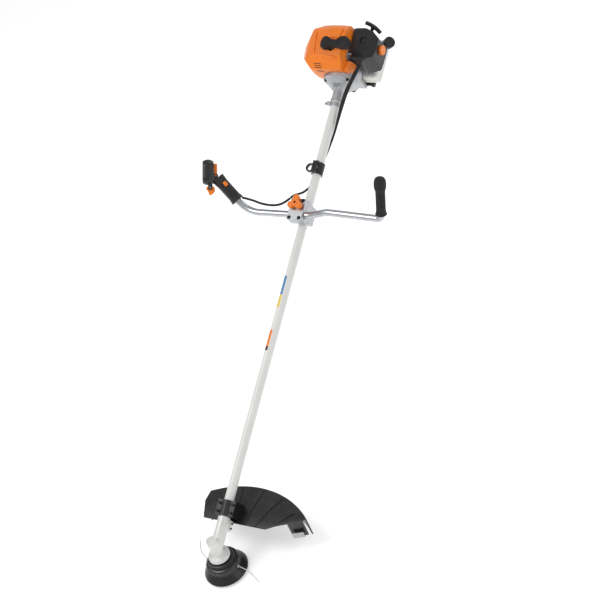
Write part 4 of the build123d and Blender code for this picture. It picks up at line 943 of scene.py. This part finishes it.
def shell_details():
    """Ridges, a raised rib and black slats of painted slot shade that follow the rounded shell."""
    shell = NODES["engine_shroud"].data.vertices
    centre, half = span([TUBE.inverted() @ vert.co for vert in shell])
    ridges = bmesh.new()
    for outline, top in SHELL_RIDGES:
        slab(ridges, outline, -top, RIDGE_DEPTH - top)
    bmesh.ops.subdivide_edges(ridges, edges=ridges.edges[:], cuts=5, use_grid_fill=True)
    # The cooling slots are drawn as black slats set just proud of the shell, as painted shade where the openings
    # are.
    slot_shade_slats = bmesh.new()
    left = Vector((1, 0, 0))
    rows = [(SLOPE_FOOT + SLOPE_WAY * step, SLOPE_WAY, SLOPE_OUT) for step in (17.0, 11.0, 5.0)]
    rows += [(FRONT_TOP + Vector((0, step, 0)), Vector((0, -1, 0)), Vector((0, 0, -1)))
             for step in (16.5, 22.0, 27.5)]
    for index, (spot, up, out) in enumerate(rows):
        made = brick(slot_shade_slats, (-13.5, -1.1, -1.2), (13.5, 1.1, 0.25))
        axes = axes_matrix(spot + left * SLOT_SHADE_SHIFT * index, left, up, out, 1.0)
        bmesh.ops.transform(slot_shade_slats, matrix=axes, verts=made)
    for bm in (ridges, slot_shade_slats):
        for vert in bm.verts:
            vert.co = pulled_in(vert.co, centre, half, SHELL_SHARE)
    round_edges(ridges, 1.2, 3, 40.0)
    piece_from(ridges, "shell_ridges", "Orange shell", "trimmer", (), TUBE)
    piece_from(slot_shade_slats, "shell_louvres", "Black plastic", "trimmer", (), TUBE)


class TRIMMER_OT_engine_covers(bpy.types.Operator):
    """Orange shell, intake cover, starter housing and the rubber plug boot"""
    bl_idname = "trimmer.engine_covers"
    bl_label = "Engine covers"

    def execute(self, context):
        refined("engine_shroud", "engine_shell", "Orange shell", 0.8 * MM, 2, 40.0, soften_shell)
        shell_details()
        recess = bmesh.new()
        brick(recess, (64.5, -60.0, 396.5), (89.5, -58.0, 421.5))
        piece_from(recess, "cover_recess", "Black plastic", "trimmer", (), TUBE)
        refine_all([("filter_cover", "intake_cover", "Satin black", sizes().edge_round, 3),
                    ("starter_housing", "starter_case", "Black plastic", 0.8 * MM, 2)])
        plug_cover()
        refine_all([("cover_knob", "intake_knob", "Orange shell", 1.2 * MM, 3)])
        pull_handle()
        return {"FINISHED"}


class TRIMMER_OT_tank(bpy.types.Operator):
    """Milky fuel tank, the ribbed cap and the stand"""
    bl_idname = "trimmer.tank"
    bl_label = "Fuel tank"

    def execute(self, context):
        refine_all([("fuel_tank", "tank_shell", "Tank plastic", 1.0 * MM, 3),
                    ("fuel_cap", "tank_cap_shell", "Black plastic", 1.2 * MM, 3),
                    ("tank_stand", "stand_runner", "Black plastic", 1.5 * MM, 3)])
        return {"FINISHED"}


ACROSS_HAND = Vector((0.8555, 0.454, 0.2484))
HOOP_CENTRE = Vector((48.0, 0.0, -7.0))
HOOP_REACH = Vector((39.6, 33.0))
HOOP_HALF_WIDTH = 16.0
HOOP_CLEAR = 21.0
HOOP_DOME = 5.0


def lever_axes():
    """The hoop's axes on the throttle handle: x up the hoop, y towards its open side, z across the hand."""
    trigger = JOINTS["trigger_pull"]
    y_way = Vector(trigger["axis"]).normalized()
    z_way = (TUBE.to_3x3() @ ACROSS_HAND).normalized()
    z_way = (z_way - y_way * z_way.dot(y_way)).normalized()
    return axes_matrix(Vector(trigger["pos_m"]), y_way.cross(z_way), y_way, z_way)


def crown_hoop(bm):
    """Domes the hoop's wide band across its width."""
    axes = lever_axes()
    bmesh.ops.transform(bm, matrix=axes.inverted(), verts=bm.verts)
    for level in range(-21, 9, 3):
        cut_across(bm, (0, 0, level), (0, 0, 1))
    for vert in bm.verts:
        across = (vert.co.z - HOOP_CENTRE.z) / HOOP_HALF_WIDTH
        spoke = Vector((vert.co.x - HOOP_CENTRE.x, vert.co.y - HOOP_CENTRE.y, 0.0))
        inside = abs(across) < 1.02 and abs(spoke.x) < HOOP_REACH.x and abs(spoke.y) < HOOP_REACH.y
        if inside and spoke.length > HOOP_CLEAR:
            vert.co -= spoke.normalized() * HOOP_DOME * across * across
    bmesh.ops.transform(bm, matrix=axes, verts=bm.verts)


GRIP_RIBS = 10
KNOB_HUB = ((4.1, 0), (9.0, 0), (9.8, 0.8), (13.0, 6), (13.0, 16.5), (11.5, 18.4), (6.2, 18.5), (4.1, 18.5),
            (4.1, 0))
KNOB_LOBE = ((0, 6), (9.4, 6), (10.5, 7.4), (10.5, 17.2), (9.6, 19), (8, 20), (5.4, 20), (4.8, 19), (0, 19))
LOBE_REACH = 15.0


class TRIMMER_OT_handlebar(bpy.types.Operator):
    """Rubber grip with finger grooves, clamp knob, clamp bolts and harness clamp"""
    bl_idname = "trimmer.handlebar"
    bl_label = "Handlebar"

    def execute(self, context):
        way = at(0.151, 0.773, 0.617).normalized()
        start = at(294, 65, -174) + way * 15.0
        outline = [(10.7, 0), (15.6, 0), (17.0, 1.4), (17.0, 3.6), (16.2, 5.2), (15.4, 7), (14.6, 13),
                   (14.2, 18)]
        for index in range(9):
            ring = 22.0 + index * 6.0
            outline += [(14.2, ring), (13.3, ring + 0.9), (13.3, ring + 2.1), (14.2, ring + 3.0)]
        outline += [(14.4, 77), (15.4, 81), (17.0, 86), (17.3, 90), (17.3, 108), (16.6, 112.5), (15.2, 116),
                    (13.0, 119), (9.0, 120.6), (0.0, 121.0)]
        bm = bmesh.new()
        lathe(bm, outline, 64)
        for index in range(GRIP_RIBS):
            made = brick(bm, (16.4, -1.6, 90), (17.9, 1.6, 107))
            turn = Matrix.Rotation(math.radians(index * 360 / GRIP_RIBS), 3, "Z")
            bmesh.ops.rotate(bm, cent=(0, 0, 0), matrix=turn, verts=made)
        piece_from(bm, "rubber_grip", "Grip rubber", "bar", ("hand_grip",),
                   TUBE @ line_frame(start, way, (1, 0, 0)), 40.0)

        knob = bmesh.new()
        lathe(knob, KNOB_HUB, 48)
        for index in range(3):
            angle = math.radians(90 + 120 * index)
            lathe(knob, KNOB_LOBE, 40,
                  Matrix.Translation((LOBE_REACH * math.cos(angle), LOBE_REACH * math.sin(angle), 0)))
        piece_from(knob, "lobed_knob", "Orange shell", "wing_knob", ("clamp_knob",),
                   TUBE @ line_frame(at(0, STUD_SEAT_UP, STUD_Z), at(0, 1, 0), (1, 0, 0)))

        bolts = bmesh.new()
        for x in (-17, 17):
            for z in (-186, -130):
                bar(bolts, 4.4, at(x, 62, z), at(x, 66, z), 6)
                bar(bolts, 6.0, at(x, 61.9, z), at(x, 63.1, z), 28)
        round_edges(bolts, 0.4)
        piece_from(bolts, "clamp_bolts", "Black screw", "carrier", (), TUBE)
        refine_all([("harness_clamp", "eye_clamp", "Satin black", 1.0 * MM, 3)])
        return {"FINISHED"}


TRIGGER_OUTLINE = (
    (-3, -13.5), (4, -9.5), (7.2, -3), (7.6, 3), (5, 8), (2, 12.5), (-6, 14.6), (-12, 13.2), (-17.5, 8.6),
    (-21.5, 3.2), (-23, -2.2), (-20.5, -3.6), (-15, -5.2), (-9, -8.4),
)


class TRIMMER_OT_controls(bpy.types.Operator):
    """Throttle handle with its hoop, curved trigger, lockout and stop switch"""
    bl_idname = "trimmer.controls"
    bl_label = "Controls"

    def execute(self, context):
        refined("control_handle", "throttle_handle", "Black plastic", 1.1 * MM, 3, 30.0, crown_hoop)
        axes = lever_axes()
        fin = bmesh.new()
        slab(fin, TRIGGER_OUTLINE, -8.0, 8.0)
        round_edges(fin, 2.2, 4)
        piece_from(fin, "trigger_blade", "Orange shell", "trigger", ("throttle_trigger",),
                   axes)
        pin = bmesh.new()
        bar(pin, 2.5, (0, -12.8, 0), (0, 12.8, 0), 28)
        round_edges(pin, 0.4)
        piece_from(pin, "trigger_pin", "Machined steel", "trigger", (), axes)
        refine_all([("lockout_lever", "lockout_paddle", "Orange shell", 2.0 * MM, 4),
                    ("stop_switch", "stop_rocker", "Orange shell", 0.8 * MM, 3)])
        return {"FINISHED"}


LAMPS = (
    ("Key", (-1.4, -1.2, 2.6), 1.6, 40.0),
    ("Fill", (2.8, -0.6, 1.6), 2.2, 13.0),
    ("Back", (0.6, 3.0, 2.2), 1.4, 22.0),
)
CAMERA_PLACE = Vector((2.240, -2.839, 2.496))
CAMERA_BACK = Vector((0.5102, -0.581, 0.634))
CAMERA_RIGHT = Vector((0.8555, 0.417, -0.3065))


class TRIMMER_OT_stage(bpy.types.Operator):
    """Pale floor, soft lights and the camera"""
    bl_idname = "trimmer.stage"
    bl_label = "Stage"

    def execute(self, context):
        scene = bpy.context.scene
        low = min(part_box(node)[0].z for node in NODES)
        bm = bmesh.new()
        bmesh.ops.create_grid(bm, x_segments=1, y_segments=1, size=sizes().floor_size / 2.0)
        bmesh.ops.translate(bm, vec=(0.0, 0.0, low - 1.0 * MM), verts=bm.verts)
        mesh = bpy.data.meshes.new("floor")
        bm.to_mesh(mesh)
        bm.free()
        floor = bpy.data.objects.new("floor", mesh)
        scene.collection.objects.link(floor)
        paint = Finish("Pale floor", Roughness=0.9, Specular_IOR_Level=0.1, Emission_Strength=0.42)
        paint.set_colour(paint.uneven((0.92, 0.92, 0.92), 0.8, 0.01))
        dress(floor, "Pale floor")

        world = bpy.data.worlds.new("Studio")
        world.use_nodes = True
        world.node_tree.nodes["Background"].inputs["Color"].default_value = (0.97, 0.98, 1.0, 1.0)
        world.node_tree.nodes["Background"].inputs["Strength"].default_value = 0.5
        scene.world = world
        scene.view_settings.view_transform = "Standard"
        middle = (Vector(CAD_BOX[0]) + Vector(CAD_BOX[1])) / 2.0
        for name, place, size, power in LAMPS:
            light = bpy.data.lights.new(name, "AREA")
            light.size = size
            light.energy = power
            lamp = bpy.data.objects.new(name, light)
            lamp.location = middle + Vector(place)
            lamp.rotation_euler = (middle - lamp.location).to_track_quat("-Z", "Y").to_euler()
            scene.collection.objects.link(lamp)

        camera = bpy.data.cameras.new("Camera")
        camera.lens = sizes().lens
        camera.sensor_width = 36.0
        camera.clip_end = 200.0
        viewer = bpy.data.objects.new("Camera", camera)
        back = CAMERA_BACK.normalized()
        right = (CAMERA_RIGHT - back * CAMERA_RIGHT.dot(back)).normalized()
        viewer.matrix_world = axes_matrix(CAMERA_PLACE, right, back.cross(right), back, 1.0)
        scene.collection.objects.link(viewer)
        scene.camera = viewer
        return {"FINISHED"}


OPERATORS = (
    TRIMMER_OT_finishes, TRIMMER_OT_stage, TRIMMER_OT_castings, TRIMMER_OT_screws, TRIMMER_OT_head,
    TRIMMER_OT_lines, TRIMMER_OT_guard, TRIMMER_OT_engine_covers, TRIMMER_OT_tank, TRIMMER_OT_handlebar,
    TRIMMER_OT_controls, TRIMMER_OT_cables,
)


class TRIMMER_PT_panel(bpy.types.Panel):
    bl_idname = "TRIMMER_PT_panel"
    bl_label = "String trimmer"
    bl_space_type = "VIEW_3D"
    bl_region_type = "UI"
    bl_category = "Trimmer"

    def draw(self, context):
        for group in (context.scene.trimmer_sizes, context.scene.trimmer_colours):
            box = self.layout.box()
            for key in group.__annotations__:
                box.prop(group, key)
        for operator in OPERATORS:
            self.layout.operator(operator.bl_idname)


CLASSES = (TrimmerColours, TrimmerSizes) + OPERATORS + (TRIMMER_PT_panel,)


def register():
    for cls in CLASSES:
        bpy.utils.register_class(cls)
    bpy.types.Scene.trimmer_colours = bpy.props.PointerProperty(type=TrimmerColours)
    bpy.types.Scene.trimmer_sizes = bpy.props.PointerProperty(type=TrimmerSizes)


def unregister():
    del bpy.types.Scene.trimmer_sizes
    del bpy.types.Scene.trimmer_colours
    for cls in reversed(CLASSES):
        bpy.utils.unregister_class(cls)


def main():
    register()
    for operator in OPERATORS:
        group, name = operator.bl_idname.split(".")
        getattr(getattr(bpy.ops, group), name)()


if __name__ == "__main__":
    main()
